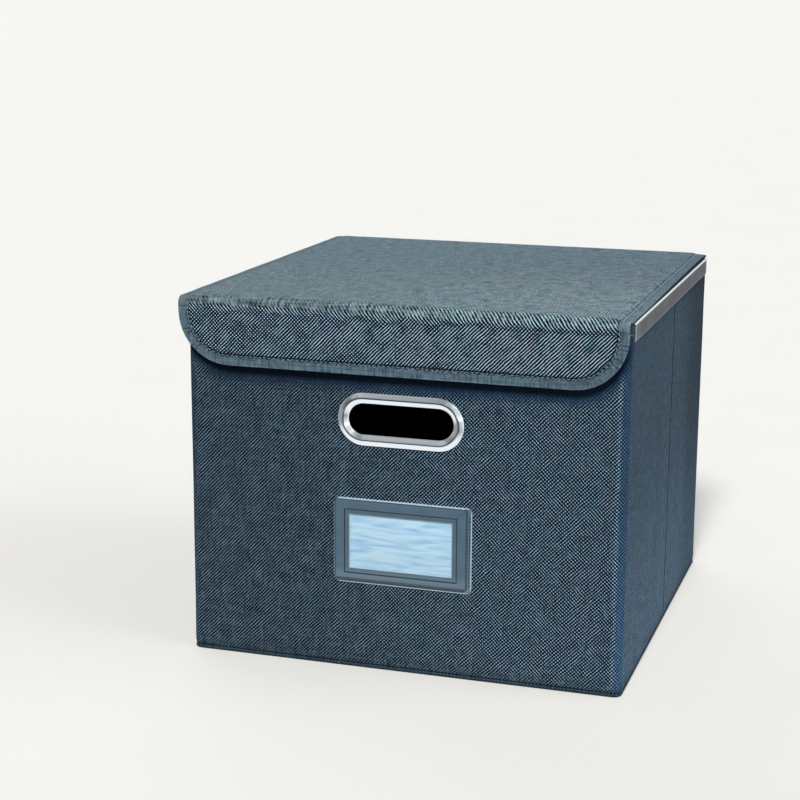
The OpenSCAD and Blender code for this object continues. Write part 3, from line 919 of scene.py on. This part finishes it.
# Painted highlight on the rolled edges and cut ends, and the flat side is duller
rail_places = add("SeparateXYZ", {"Vector": places})
top_edge = add(
    "MapRange", (rail_places.outputs["Z"], rail_high.z - 1.9 * mm, rail_high.z - 1.2 * mm)
)
foot_edge = add(
    "MapRange", (rail_places.outputs["Z"], rail_low.z + 1.2 * mm, rail_low.z + 0.6 * mm, 0.0, 0.6)
)
length_along = add("Math", (rail_places.outputs["Y"],), operation="ABSOLUTE")
end_edge = add("MapRange", (length_along, rail_high.y - 5.0 * mm, rail_high.y - 3.0 * mm))
ridge = add("Math", (top_edge, foot_edge), operation="MAXIMUM")
painted_highlight = add("Math", (ridge, end_edge), operation="MAXIMUM")
dull = add("Mix", {"Factor": clouded, 6: "#807f88", 7: "#abacae"})
steel_tone = add("Mix", {"Factor": painted_highlight, 6: dull, 7: "#f6f8fa"})
steel_rough = add("MapRange", (lines, 0.0, 1.0, 0.28, 0.42))
steel_bump = add("Bump", {"Height": lines, "Strength": 0.15, "Distance": 0.02 * mm})
steel_surface = add(
    "BsdfPrincipled",
    {"Base Color": steel_tone, "Metallic": 1.0, "Roughness": steel_rough, "Normal": steel_bump},
)
add("OutputMaterial", [steel_surface])
for node in ("left_rail", "right_rail"):
    dress(node, rail_steel)

# ---- Hand grips ----------------------------------------------------------
# Oval rings of stamped steel, plated with bright chrome: a ridged face, and a
# sleeve through the wall that a plain ring locks behind the lining.

grip_chrome, add = new_material("bright_chrome_plate")
places = add("TexCoord").outputs["Object"]
handling = add("TexNoise", {"Vector": places, "Scale": 1 / (8 * mm), "Detail": 4.0})
chrome_rough = add("MapRange", (handling, 0.35, 0.7, 0.06, 0.14))
chrome_surface = add(
    "BsdfPrincipled", {"Base Color": "#f0f3f5", "Metallic": 1.0, "Roughness": chrome_rough}
)
add("OutputMaterial", [chrome_surface])

# Radius from the oval's centre line, and height in front of the wall
grip_section = [
    (19.0, 0.0), (19.0, 0.4), (18.85, 0.7), (18.5, 0.95), (17.6, 1.45), (16.6, 2.0), (16.0, 2.32),
    (15.6, 2.49), (15.25, 2.58), (14.95, 2.6), (14.65, 2.56), (14.3, 2.42), (13.9, 2.17),
    (13.2, 1.72), (12.4, 1.2), (11.7, 0.75), (11.3, 0.46), (11.08, 0.15), (11.0, -0.3),
    (11.0, -5.2), (11.2, -5.4), (12.0, -5.4), (12.0, 0.0), (19.0, 0.0),
]
grip_columns = columns_of([[], [k / 6 for k in range(6)], [], [k / 6 for k in range(6)]], 16)


def stand_up(bm, z=0.0, back=False):
    """Turns a piece drawn on the flat to stand on the front or the back wall."""
    turn = Matrix.Rotation(math.radians(180), 4, "Z") if back else Matrix.Identity(4)
    place = turn @ Matrix.Translation((0, -wall_half_d, z)) @ Matrix.Rotation(
        math.radians(90), 4, "X"
    )
    bmesh.ops.transform(bm, matrix=place, verts=bm.verts)


for end, node in ((False, "front_grip"), (True, "back_grip")):
    bm = loft(
        [(0, 0, slot_half + r * mm, r * mm, r * mm, h * mm) for r, h in grip_section],
        grip_columns,
    )
    bmesh.ops.recalc_face_normals(bm, faces=bm.faces)
    stand_up(bm, slot_z, end)
    finish_piece(node + "_ring", bm, grip_chrome, "box", "grip_chrome", node, crease=24)

clip_steel, add = new_material("plain_plated_steel")
places = add("TexCoord").outputs["Object"]
scuffs = add("TexNoise", {"Vector": places, "Scale": 1 / (3 * mm), "Detail": 4.0})
scuff_rough = add("MapRange", (scuffs, 0.0, 1.0, 0.3, 0.55))
clip_surface = add(
    "BsdfPrincipled", {"Base Color": "#a8a9ac", "Metallic": 1.0, "Roughness": scuff_rough}
)
add("OutputMaterial", [clip_surface])
for node in ("front_grip_clip", "back_grip_clip"):
    dress(node, clip_steel)

# ---- Label holder --------------------------------------------------------
# A backing and a frame of smooth coated cloth, sewn together on three sides, with
# a clear soft film behind the frame's stepped lip and a blank card behind it.

label_trim, add = new_material("smooth_coated_trim")
places = add("TexCoord").outputs["Object"]
grain = add("TexVoronoi", {"Vector": places, "Scale": 1 / (0.9 * mm)}, feature="DISTANCE_TO_EDGE")
cloud = add("TexNoise", {"Vector": places, "Scale": 1 / (12 * mm), "Detail": 3.0})
trim_cloud = add("Mix", {"Factor": cloud, 6: "#445a6b", 7: "#556d7e"})
# Painted highlight on the edges and painted light on shaded strips; weld lines are dark
painted_edge_light = add("Attribute", attribute_name="painted_edge_light")
edged = add("Mix", {"Factor": painted_edge_light.outputs["Fac"], 6: trim_cloud, 7: "#aabfcc"})
weld = add("Attribute", attribute_name="weld")
trim_tone = add("Mix", {"Factor": weld.outputs["Fac"], 6: edged, 7: "#141f2a"})
trim_bump = add("Bump", {"Height": grain, "Strength": 0.25, "Distance": 0.08 * mm})
trim_surface = add(
    "BsdfPrincipled",
    {"Base Color": trim_tone, "Roughness": 0.42, "IOR": 1.5, "Normal": trim_bump},
)
add("OutputMaterial", [trim_surface])

backing_low, backing_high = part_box("label_backing")
frame_low, frame_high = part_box("label_frame")
label_r = 4 * mm


def close(bm):
    """Closes a piece's open rims and turns its faces outward."""
    bmesh.ops.edgeloop_fill(bm, edges=[e for e in bm.edges if e.is_boundary])
    bmesh.ops.recalc_face_normals(bm, faces=bm.faces)


def flat_box(low, high):
    """Middle and half sizes of a box on the front wall."""
    return (
        (low.x + high.x) / 2, (low.z + high.z) / 2, (high.x - low.x) / 2, (high.z - low.z) / 2
    )


label_columns = columns_of([shares(stops(0.0, 1.0, 0.1))] * 4, 6)
mid_x, mid_z, half_x, half_z = flat_box(backing_low, backing_high)
backing_t = backing_high.y - backing_low.y
bm = loft(
    [
        (mid_x, mid_z, half_x - a * mm, half_z - a * mm, label_r - a * mm, h * mm)
        for a, h in (
            (0.0, 0.0), (0.0, 0.4), (0.08, 0.53), (0.25, 0.6), (0.6, 0.6), (0.8, 0.54),
            (1.0, 0.6),
        )
    ],
    label_columns,
)
close(bm)


def from_edge(vert):
    """How far a point of the label is in from the outer edge."""
    return min(half_x - abs(vert.co.x - mid_x), half_z - abs(vert.co.y - mid_z))


# Painted highlight round the backing's edge, and painted light on its lower half, where the
# frame's shadow falls
tell(
    bm, "painted_edge_light",
    lambda v: 1.0 if from_edge(v) < 0.7 * mm else 0.14 if v.co.y < mid_z else 0.04,
)
tell(bm, "weld", 0.0)
stand_up(bm)
finish_piece("label_backing_trim", bm, label_trim, "box", "label_trim", "label_backing")

window_half_x, window_half_z = 37.5 * mm, 19.5 * mm
film_low, film_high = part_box("label_window")
window_x, window_z, film_half_x, film_half_z = flat_box(film_low, film_high)
mid_x, mid_z, half_x, half_z = flat_box(frame_low, frame_high)
pocket_z = 1.45 * mm
# Inset from the frame's outer edge, and height in front of the wall
outer_section = [
    (0.0, 0.6), (0.0, 2.1), (0.1, 2.4), (0.25, 2.56), (0.45, 2.6), (0.6, 2.58), (0.8, 2.46),
    (1.1, 2.42), (1.3, 2.5), (1.7, 2.62), (4.0, 2.68),
]
# Distance out from the window's edge, and height
inner_section = [
    (4.8, 2.66), (4.3, 2.6), (4.1, 2.45), (3.9, 2.2), (3.7, 1.95), (3.2, 1.93), (1.0, 1.95),
    (0.6, 1.94), (0.3, 1.92), (0.05, 1.8), (0.0, 1.6), (0.0, 1.45), (3.4, 1.45),
]
outer_rings, under_rings = (
    [
        (mid_x, mid_z, half_x - a * mm, half_z - a * mm, max(0.6, 4.0 - a) * mm, h * mm)
        for a, h in section
    ]
    for section in (outer_section, [(2.5, 1.45), (2.5, 0.6), (0.0, 0.6)])
)
inner_rings = [
    (window_x, window_z, window_half_x + a * mm, window_half_z + a * mm, 0.6 * mm, h * mm)
    for a, h in inner_section
]
bm = loft([*outer_rings, *inner_rings, *under_rings], label_columns)
for vert in bm.verts:
    # The pocket is open on the right, so the frame has no foot there
    at_mouth = vert.co.x > mid_x + half_x - 3 * mm and abs(vert.co.y - mid_z) < half_z - 3.5 * mm
    if at_mouth:
        vert.co.z = max(vert.co.z, pocket_z)
bmesh.ops.recalc_face_normals(bm, faces=bm.faces)


def from_window(vert):
    """How far a point of the frame is out from the window's edge."""
    x, y = abs(vert.co.x - window_x), abs(vert.co.y - window_z)
    return max(x - window_half_x, y - window_half_z)


def frame_painted_light(vert):
    """Painted highlight on the outer edge at the left and at the top and round the window, and
    painted light on the strip below the window."""
    if from_window(vert) < 0.4 * mm:
        return 0.8
    left_or_top = vert.co.x < mid_x - half_x + 1 * mm or vert.co.y > mid_z + half_z - 1 * mm
    if left_or_top and from_edge(vert) < 0.4 * mm:
        return 1.0
    return 0.12 * smooth_step(0.5 * mm, 3 * mm, window_z - window_half_z - vert.co.y)


def frame_weld(vert):
    """Dark where the trim is welded down, inside the edge and round the window."""
    if 3.6 * mm < from_window(vert) < 4.2 * mm:
        return 1.0
    if from_edge(vert) < 0.7 * mm:
        return 0.4 * (1.0 - frame_painted_light(vert))
    return 0.8 * float(from_edge(vert) < 1.2 * mm)


tell(bm, "painted_edge_light", frame_painted_light)
tell(bm, "weld", frame_weld)
stand_up(bm)
finish_piece("label_frame_trim", bm, label_trim, "box", "label_trim", "label_frame", crease=35)

# Where the frame's strips meet at the top right, and the dark thread at the pocket's mouth
mitre = [
    Vector((window_x + window_half_x + 3.9 * mm, window_z + window_half_z + 3.9 * mm)),
    Vector((mid_x + half_x - 1.2 * mm, mid_z + half_z - 1.2 * mm)),
]
mouth_x = backing_high.x - 1.7 * mm
mouth = [Vector((mouth_x, mid_z + half_z - 6 * mm)), Vector((mouth_x, backing_low.z + 5 * mm))]
flat_stitches = sew(mouth, 2.5 * mm, 2.2 * mm, 0.9 * mm, 0.0)
for vert in flat_stitches.verts:
    vert.co.z = backing_t + 0.06 * vert.co.z
bm = join([sew(mitre, 2.0 * mm, 2.1 * mm, 0.5 * mm, 2.55 * mm), flat_stitches])
tell(bm, "painted_edge_light", 0.0)
tell(bm, "weld", 1.0)
stand_up(bm)
finish_piece("label_seams", bm, label_trim, "box", "label_trim")

# Soft vinyl: clear and glossy, with the long waves it takes when it is sewn in
clear_film, add = new_material("clear_soft_film")
places = add("TexCoord").outputs["Object"]
wave_places = add("Mapping", {"Vector": places, "Scale": (1 / (30 * mm), 1.0, 1 / (3.8 * mm))})
waves = add("TexNoise", {"Vector": wave_places, "Scale": 1.0, "Detail": 1.0, "Distortion": 0.7})
# Painted light and shade of the waves on the card behind them, in the film's colour
film_shade = add("MapRange", (waves, 0.28, 0.6))
film_tint = add("Mix", {"Factor": film_shade, 6: "#9ccdf6", 7: "#d2f0ff"})
film_bump = add("Bump", {"Height": waves, "Strength": 0.35, "Distance": 1.2 * mm})
film_surface = add(
    "BsdfPrincipled",
    {"Base Color": film_tint, "Roughness": 0.1, "IOR": 1.52, "Alpha": 0.4, "Normal": film_bump},
)
add("OutputMaterial", [film_surface])

film_t = film_high.y - film_low.y
bm = bmesh.new()
bmesh.ops.create_grid(bm, x_segments=36, y_segments=20, size=1.0)
reach = max(v.co.x for v in bm.verts)
for vert in bm.verts:
    vert.co.x *= film_half_x / reach
    vert.co.y *= film_half_z / reach
    edge = min(film_half_x - abs(vert.co.x), film_half_z - abs(vert.co.y))
    ripple = noise.noise(Vector((vert.co.x * 60, vert.co.y * 180, 0.3)))
    vert.co.z = 0.16 * mm * ripple * smooth_step(0.0, 6 * mm, edge)
bmesh.ops.translate(bm, vec=(window_x, window_z, -film_low.y - wall_half_d), verts=bm.verts)
stand_up(bm)
film_piece = finish_piece("label_film", bm, clear_film, "box", "clear_film", "label_window")
thicken(film_piece, film_t)

card_paper, add = new_material("uncoated_card")
places = add("TexCoord").outputs["Object"]
pulp = add("TexNoise", {"Vector": places, "Scale": 1 / (0.7 * mm), "Detail": 4.0})
shade = add("TexNoise", {"Vector": places, "Scale": 1 / (25 * mm), "Detail": 1.0})
card_mix = add("Mix", {"Factor": shade, 6: "#cdefff", 7: "#d6f5ff"})
card_bump = add("Bump", {"Height": pulp, "Strength": 0.2, "Distance": 0.03 * mm})
card_surface = add(
    "BsdfPrincipled", {"Base Color": card_mix, "Roughness": 0.6, "Normal": card_bump}
)
add("OutputMaterial", [card_surface])
card_low, card_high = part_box("label_card")
mid_x, mid_z, half_x, half_z = flat_box(card_low, card_high)
card_back = -card_high.y - wall_half_d
card_front = -card_low.y - wall_half_d
bm = loft(
    [
        (mid_x, mid_z, half_x - a * mm, half_z - a * mm, 1.5 * mm, h)
        for a, h in (
            (0.05, card_back), (0.0, card_back + 0.05 * mm),
            (0.0, card_front - 0.05 * mm), (0.05, card_front),
        )
    ],
    columns_of([[0.0]] * 4, 5),
)
close(bm)
stand_up(bm)
finish_piece("label_paper_card", bm, card_paper, "card", "card_paper", "label_card")

# ---- Lid and flap --------------------------------------------------------
# One piece of linen runs over the lid's board, round the fold and down the
# flap's board. Its edges are turned under and sewn all round, which leaves a
# flat hem outside the raised middles.

lid_low, lid_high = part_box("lid_cover")
bend_low, bend_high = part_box("fold_cloth")
lid_x = (lid_low.x + lid_high.x) / 2
lid_half_w = (lid_high.x - lid_low.x) / 2
lid_l = lid_high.y - bend_high.y
bend_r = lid_low.z - bend_low.z
bend_l = math.pi / 2 * (bend_r + 2 * mm)
flap_l = flap_high.z - flap_low.z
cloth_l = lid_l + bend_l + flap_l
hem_w = 8 * mm
hem_t = 2.4 * mm
rear_r = 5 * mm


def edge_gap(x, s):
    """Distance in from the lid and flap's outline, drawn flat: s runs from the lid's
    rear edge to the flap's lower edge."""
    across, down = lid_half_w - abs(x), min(s, cloth_l - s)
    radius = rear_r if s < cloth_l / 2 else flap_r
    if across < radius and down < radius:
        return radius - math.hypot(radius - across, radius - down)
    return min(across, down)


def edge_run(x, s):
    """Distance along the outline of its nearest point, for the hem's puckers."""
    across, down = lid_half_w - abs(x), min(s, cloth_l - s)
    radius = rear_r if s < cloth_l / 2 else flap_r
    if across < radius and down < radius:
        return radius * math.atan2(radius - across, radius - down) + math.copysign(0.5, x)
    return s if across < down else x + 1.5


def lid_lift(x, y):
    """The hem on the right sags on to the rail at the front, stands off it behind and
    droops past its rear end."""
    side = smooth_step(-14 * mm, -4 * mm, x - lid_x - lid_half_w)
    sag = 1.5 * mm * (1 - smooth_step(-0.13, 0.03, y))
    droop = 1.4 * mm * smooth_step(0.148, 0.163, y)
    return side * (0.6 * mm * smooth_step(0.0, 0.12, y) - sag - droop)


def over_fold(x, s, h):
    """Place on the box of a point drawn flat, h above the cloth's underside."""
    x += lid_x
    if s <= lid_l:
        y = lid_high.y - s
        return Vector((x, y, lid_low.z + h + lid_lift(x, y)))
    if s < lid_l + bend_l:
        turn = (s - lid_l) / bend_l * math.pi / 2
        radius = bend_r + h
        return Vector(
            (x, bend_high.y - radius * math.sin(turn), bend_low.z + radius * math.cos(turn))
        )
    return Vector((x, bend_high.y - bend_r - h, bend_low.z - (s - lid_l - bend_l)))


tongue_columns = columns_of([[0.0]] * 4, 12)


def tongue(section):
    """Lid and flap drawn flat, lofted through pairs of inset and height."""
    return loft(
        [
            (
                0.0, cloth_l / 2, lid_half_w - gap * mm, cloth_l / 2 - gap * mm,
                (max(rear_r - gap * mm, 0.3 * mm), flap_r - gap * mm), height * mm,
            )
            for gap, height in section
        ],
        tongue_columns,
    )


cut_across = stops(-lid_half_w, lid_half_w, cell)[1:-1]
cut_down = stops(0.0, lid_l - 4 * mm, cell)[1:]
cut_down += stops(lid_l - 3 * mm, lid_l + bend_l + 3 * mm, 0.7 * mm)
cut_down += stops(lid_l + bend_l + 5 * mm, cloth_l - 2 * mm, 4 * mm)

# Inset from the outline and height above the underside, from the recess that takes the
# lining, round the hem's roll and over the stitched groove to the raised middle
cover_section = [
    (3.4, 0.5), (3.05, 0.46), (2.95, 0.04), (2.2, 0.0), (1.5, 0.1), (0.95, 0.4), (0.5, 0.9),
    (0.2, 1.45), (0.0, 1.95), (0.12, 2.22), (0.4, 2.38), (0.9, 2.42), (2.4, 2.42), (3.6, 2.44),
    (4.7, 2.46), (5.9, 2.42), (6.7, 2.26), (7.2, 1.9), (7.65, 1.88), (8.0, 2.3), (8.4, 3.08),
    (8.9, 3.68), (9.6, 3.98), (10.8, 4.1), (14.5, 4.15), (23.5, 4.17),
]
bm = tongue(cover_section)
close(bm)
cut_cells(bm, cut_across, cut_down)
map_cloth(bm, lambda v: (v.co.x, -v.co.y))
bm.verts.index_update()
flat_places = [(v.co.x, v.co.y) for v in bm.verts]


def on_lid(vert):
    """1 on the lid's top, 0 on the flap."""
    return 1 - smooth_step(lid_l + 5.5 * mm, lid_l + 10 * mm, flat_places[vert.index][1])


def cover_tone_and_painted_light(vert):
    """Tone and painted light of the lid and flap: painted shade on the hem's underside and edge
    face and in the crease beside the stitches, a painted highlight along the flap hem's edge, and
    painted light in the levels of the lid and the flap, which are lighter than the walls.
    """
    gap = edge_gap(*flat_places[vert.index])
    # Painted shade on the hem's underside and on its edge face
    underside = vert.co.z < 1.9 * mm and gap < 5 * mm
    if underside or vert.co.z < 2.3 * mm and gap < 0.3 * mm:
        return 0.3 - 0.2 * on_lid(vert)
    # Painted highlight along the hem's edge on the flap
    painted_edge_highlight = 1 - smooth_step(0.5 * mm, 1.1 * mm, gap)
    # Painted shade in the crease beside the stitches
    past = gap - hem_w
    crease = smooth_step(-1.9 * mm, -0.7 * mm, past) * (1 - smooth_step(-0.2 * mm, 0.7 * mm, past))
    # Painted light in the levels: the lid is lighter towards its front, most at the front right
    front = smooth_step(0.10, 0.3, vert.co.y)
    rightward = smooth_step(-0.1, 0.12, vert.co.x)
    tone = 0.9 - 0.06 * rightward
    tone += on_lid(vert) * (front * (0.06 + 0.19 * rightward) + 0.06 * rightward - 0.12)
    tone *= 1 - cover_hem(vert) * (0.1 - 0.02 * on_lid(vert))
    return tone * (1 + 0.6 * painted_edge_highlight * (1 - on_lid(vert)) - 0.35 * crease)


def cover_hem(vert):
    """1 on the hem and 0 on the raised middle."""
    return 1 - smooth_step(hem_w - 1.6 * mm, hem_w + 0.4 * mm, edge_gap(*flat_places[vert.index]))


def cover_painted_light_tint(vert):
    """Painted light: a warmer, lighter tint with more flecks, most on the lid and above all at its
    front, less on the flap and least on the flap's hem.
    """
    lid_top = 0.75 + 0.35 * smooth_step(0.05, 0.3, vert.co.y)
    return 0.35 + (lid_top - 0.35) * on_lid(vert) - 0.2 * cover_hem(vert) * (1 - on_lid(vert))


def cover_open(vert):
    """The weave stands wide open on the flap, more so on its right, is drawn shut over
    the fold, and is flat in the hem."""
    drawn = on_lid(vert) * smooth_step(lid_l - 4 * mm, lid_l, flat_places[vert.index][1])
    openness = 1.8 - 0.75 * on_lid(vert) - 0.95 * drawn + 0.5 * smooth_step(-0.1, 0.1, vert.co.x)
    return openness + (1.0 - openness) * cover_hem(vert)


def cover_seam(vert):
    """1 along the stitches, whose dimples are painted shade and light, more on the flap than on
    the lid.
    """
    aside = abs(edge_gap(*flat_places[vert.index]) - hem_w + 0.6 * mm)
    return (1 - smooth_step(0.9 * mm, 2.2 * mm, aside)) * (1 - 0.7 * on_lid(vert))


def cover_lean(vert):
    """The crowns line up to the left over the bend and to the right below it."""
    x, s = flat_places[vert.index]
    below = smooth_step(
        lid_l + bend_l - 0.5 * mm, lid_l + bend_l + 6.5 * mm,
        s + 4 * mm * noise.noise(Vector((x * 60, 0.0, 0.0))),
    )
    return -0.9 + below * (1.15 + 0.6 * smooth_step(-0.12, 0.06, x))


mark(
    bm, tone=cover_tone_and_painted_light, faded=cover_painted_light_tint, lean=cover_lean, open=cover_open, hem=cover_hem,
    seam=cover_seam, run=lambda v: edge_run(*flat_places[v.index]),
)
for vert in bm.verts:
    x, s, h = vert.co
    gap = edge_gap(x, s)
    wave = noise.noise(Vector((x * 45, s * 45, 0.7)))
    hem_wave = (1 - smooth_step(0.0, hem_w, gap)) * 0.22 * mm
    h += wave * hem_wave
    if s < hem_t / 2:
        # The rear hem rolls on the hinge strip as the lid turns, so it is round
        away = Vector((hem_t / 2 - s, h - hem_t / 2))
        away *= min(1.0, hem_t / 2 / max(away.length, mm))
        s, h = hem_t / 2 - away.x, hem_t / 2 + away.y
    vert.co = over_fold(x, s, h)
lid_piece = finish_piece(
    "lid_and_flap_linen", bm, wall_linen, None, "linen", "lid_cover", "fold_cloth", "flap_cover",
    crease=60,
)
bend_start = (0.0, bend_high.y, lid_high.z)
bend_end = (0.0, flap_low.y, bend_low.z)
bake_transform(lid_piece)

bm = tongue([(3.15, 0.0), (4.5, 0.0)])
inner = [e for e in bm.edges if e.is_boundary and edge_gap(*e.verts[0].co.xy) > 4 * mm]
bmesh.ops.edgeloop_fill(bm, edges=inner)
bmesh.ops.recalc_face_normals(bm, faces=bm.faces)
if sum(f.normal.z for f in bm.faces) > 0:
    bmesh.ops.reverse_faces(bm, faces=bm.faces)
cut_cells(bm, cut_across, cut_down)
map_cloth(bm, lambda v: (v.co.x, -v.co.y))
for vert in bm.verts:
    x, s, _ = vert.co
    vert.co = over_fold(x, s, 0.05 * mm)
lid_lining = finish_piece(
    "lid_and_flap_lining_felt", bm, lining_felt, None, "lining", "lid_lining", "flap_lining"
)
thicken(lid_lining, 0.38 * mm)
inner_start = (0.0, bend_high.y, lid_low.z)
inner_end = (0.0, bend_high.y - bend_r, bend_low.z)
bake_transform(lid_lining)

# The row of stitches round the hem goes through all layers, so it shows on both
# faces. The beads are laid flat and then bent round the fold with the cloth.
stitch_gap = hem_w - 0.55 * mm
path_half_w, path_half_l = lid_half_w - stitch_gap, cloth_l / 2 - stitch_gap
far_r = flap_r - stitch_gap
far_arc = [
    Vector((
        path_half_w - far_r + far_r * math.cos(a),
        cloth_l / 2 + path_half_l - far_r + far_r * math.sin(a),
    ))
    for a in [math.radians(6 * k) for k in range(16)]
]
near_y = cloth_l / 2 - path_half_l
seam = [Vector((0.0, near_y)), Vector((path_half_w, near_y)), *far_arc]
seam += [Vector((-p.x, p.y)) for p in reversed(seam)]
rows = [
    ("hem_stitches", 0.75 * mm, 2.3 * mm, bend_start, bend_end),
    ("hem_stitches_inside", 0.5 * mm, 0.0, inner_start, inner_end),
]
for name, thickness, height, start, end in rows:
    bm = sew(seam, 3.5 * mm, 2.7 * mm, thickness, height)
    for vert in bm.verts:
        vert.co = over_fold(*vert.co)
    stitches = finish_piece(name, bm, sewing_thread, None, "linen")
    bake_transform(stitches)
    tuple(start)
    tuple(end)

# ---- Hinge strip ---------------------------------------------------------
# A strip of linen sewn flat on the back wall, whose upper edge runs out under
# the roll of the lid's rear hem and ties the lid to the box.

strip_low, strip_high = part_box("lid_hinge_cloth")
strip_half = strip_high.x
strip_groove = 4.5
# Distance behind the wall's face, and height above the strip's lower edge
strip_section = [
    (0.15, 0.0), (0.72, 0.35), (0.8, 1.2), (0.8, 4.0), (0.66, strip_groove), (0.8, 5.0),
    (0.8, 9.0), (0.85, 12.0), (1.05, 14.5), (1.4, 16.0), (1.7, 16.5),
]
bm = bmesh.new()
bmesh.ops.create_grid(bm, x_segments=40, y_segments=len(strip_section) - 1, size=1.0)
reach = max(v.co.x for v in bm.verts)
for vert in bm.verts:
    row = round((vert.co.y / reach + 1) / 2 * (len(strip_section) - 1))
    away, height = strip_section[row]
    x = vert.co.x / reach * strip_half
    droop = 0.15 * mm * noise.noise(Vector((x * 60, 0.2, 0.5))) * smooth_step(5, 16, height)
    vert.co = Vector((x, wall_half_d + away * mm + droop, strip_low.z + height * mm))
map_cloth(bm, lambda v: v.co.xz)
bmesh.ops.recalc_face_normals(bm, faces=bm.faces)
if sum(f.normal.y for f in bm.faces) < 0:
    bmesh.ops.reverse_faces(bm, faces=bm.faces)
mark(bm, hem=0.6, run=lambda v: v.co.x)
strip_piece = finish_piece(
    "hinge_strip_linen", bm, tape_linen, "box", "linen_tape", "lid_hinge_cloth"
)
thicken(strip_piece, 0.6 * mm)

strip_line = [Vector((-strip_half + 2 * mm, 0.0)), Vector((strip_half - 2 * mm, 0.0))]
bm = sew(strip_line, stitch_pitch, stitch_l, stitch_t, 0.72 * mm)
stand_up(bm, strip_low.z + strip_groove * mm, back=True)
finish_piece("hinge_strip_stitches", bm, sewing_thread, "box", "linen_tape")
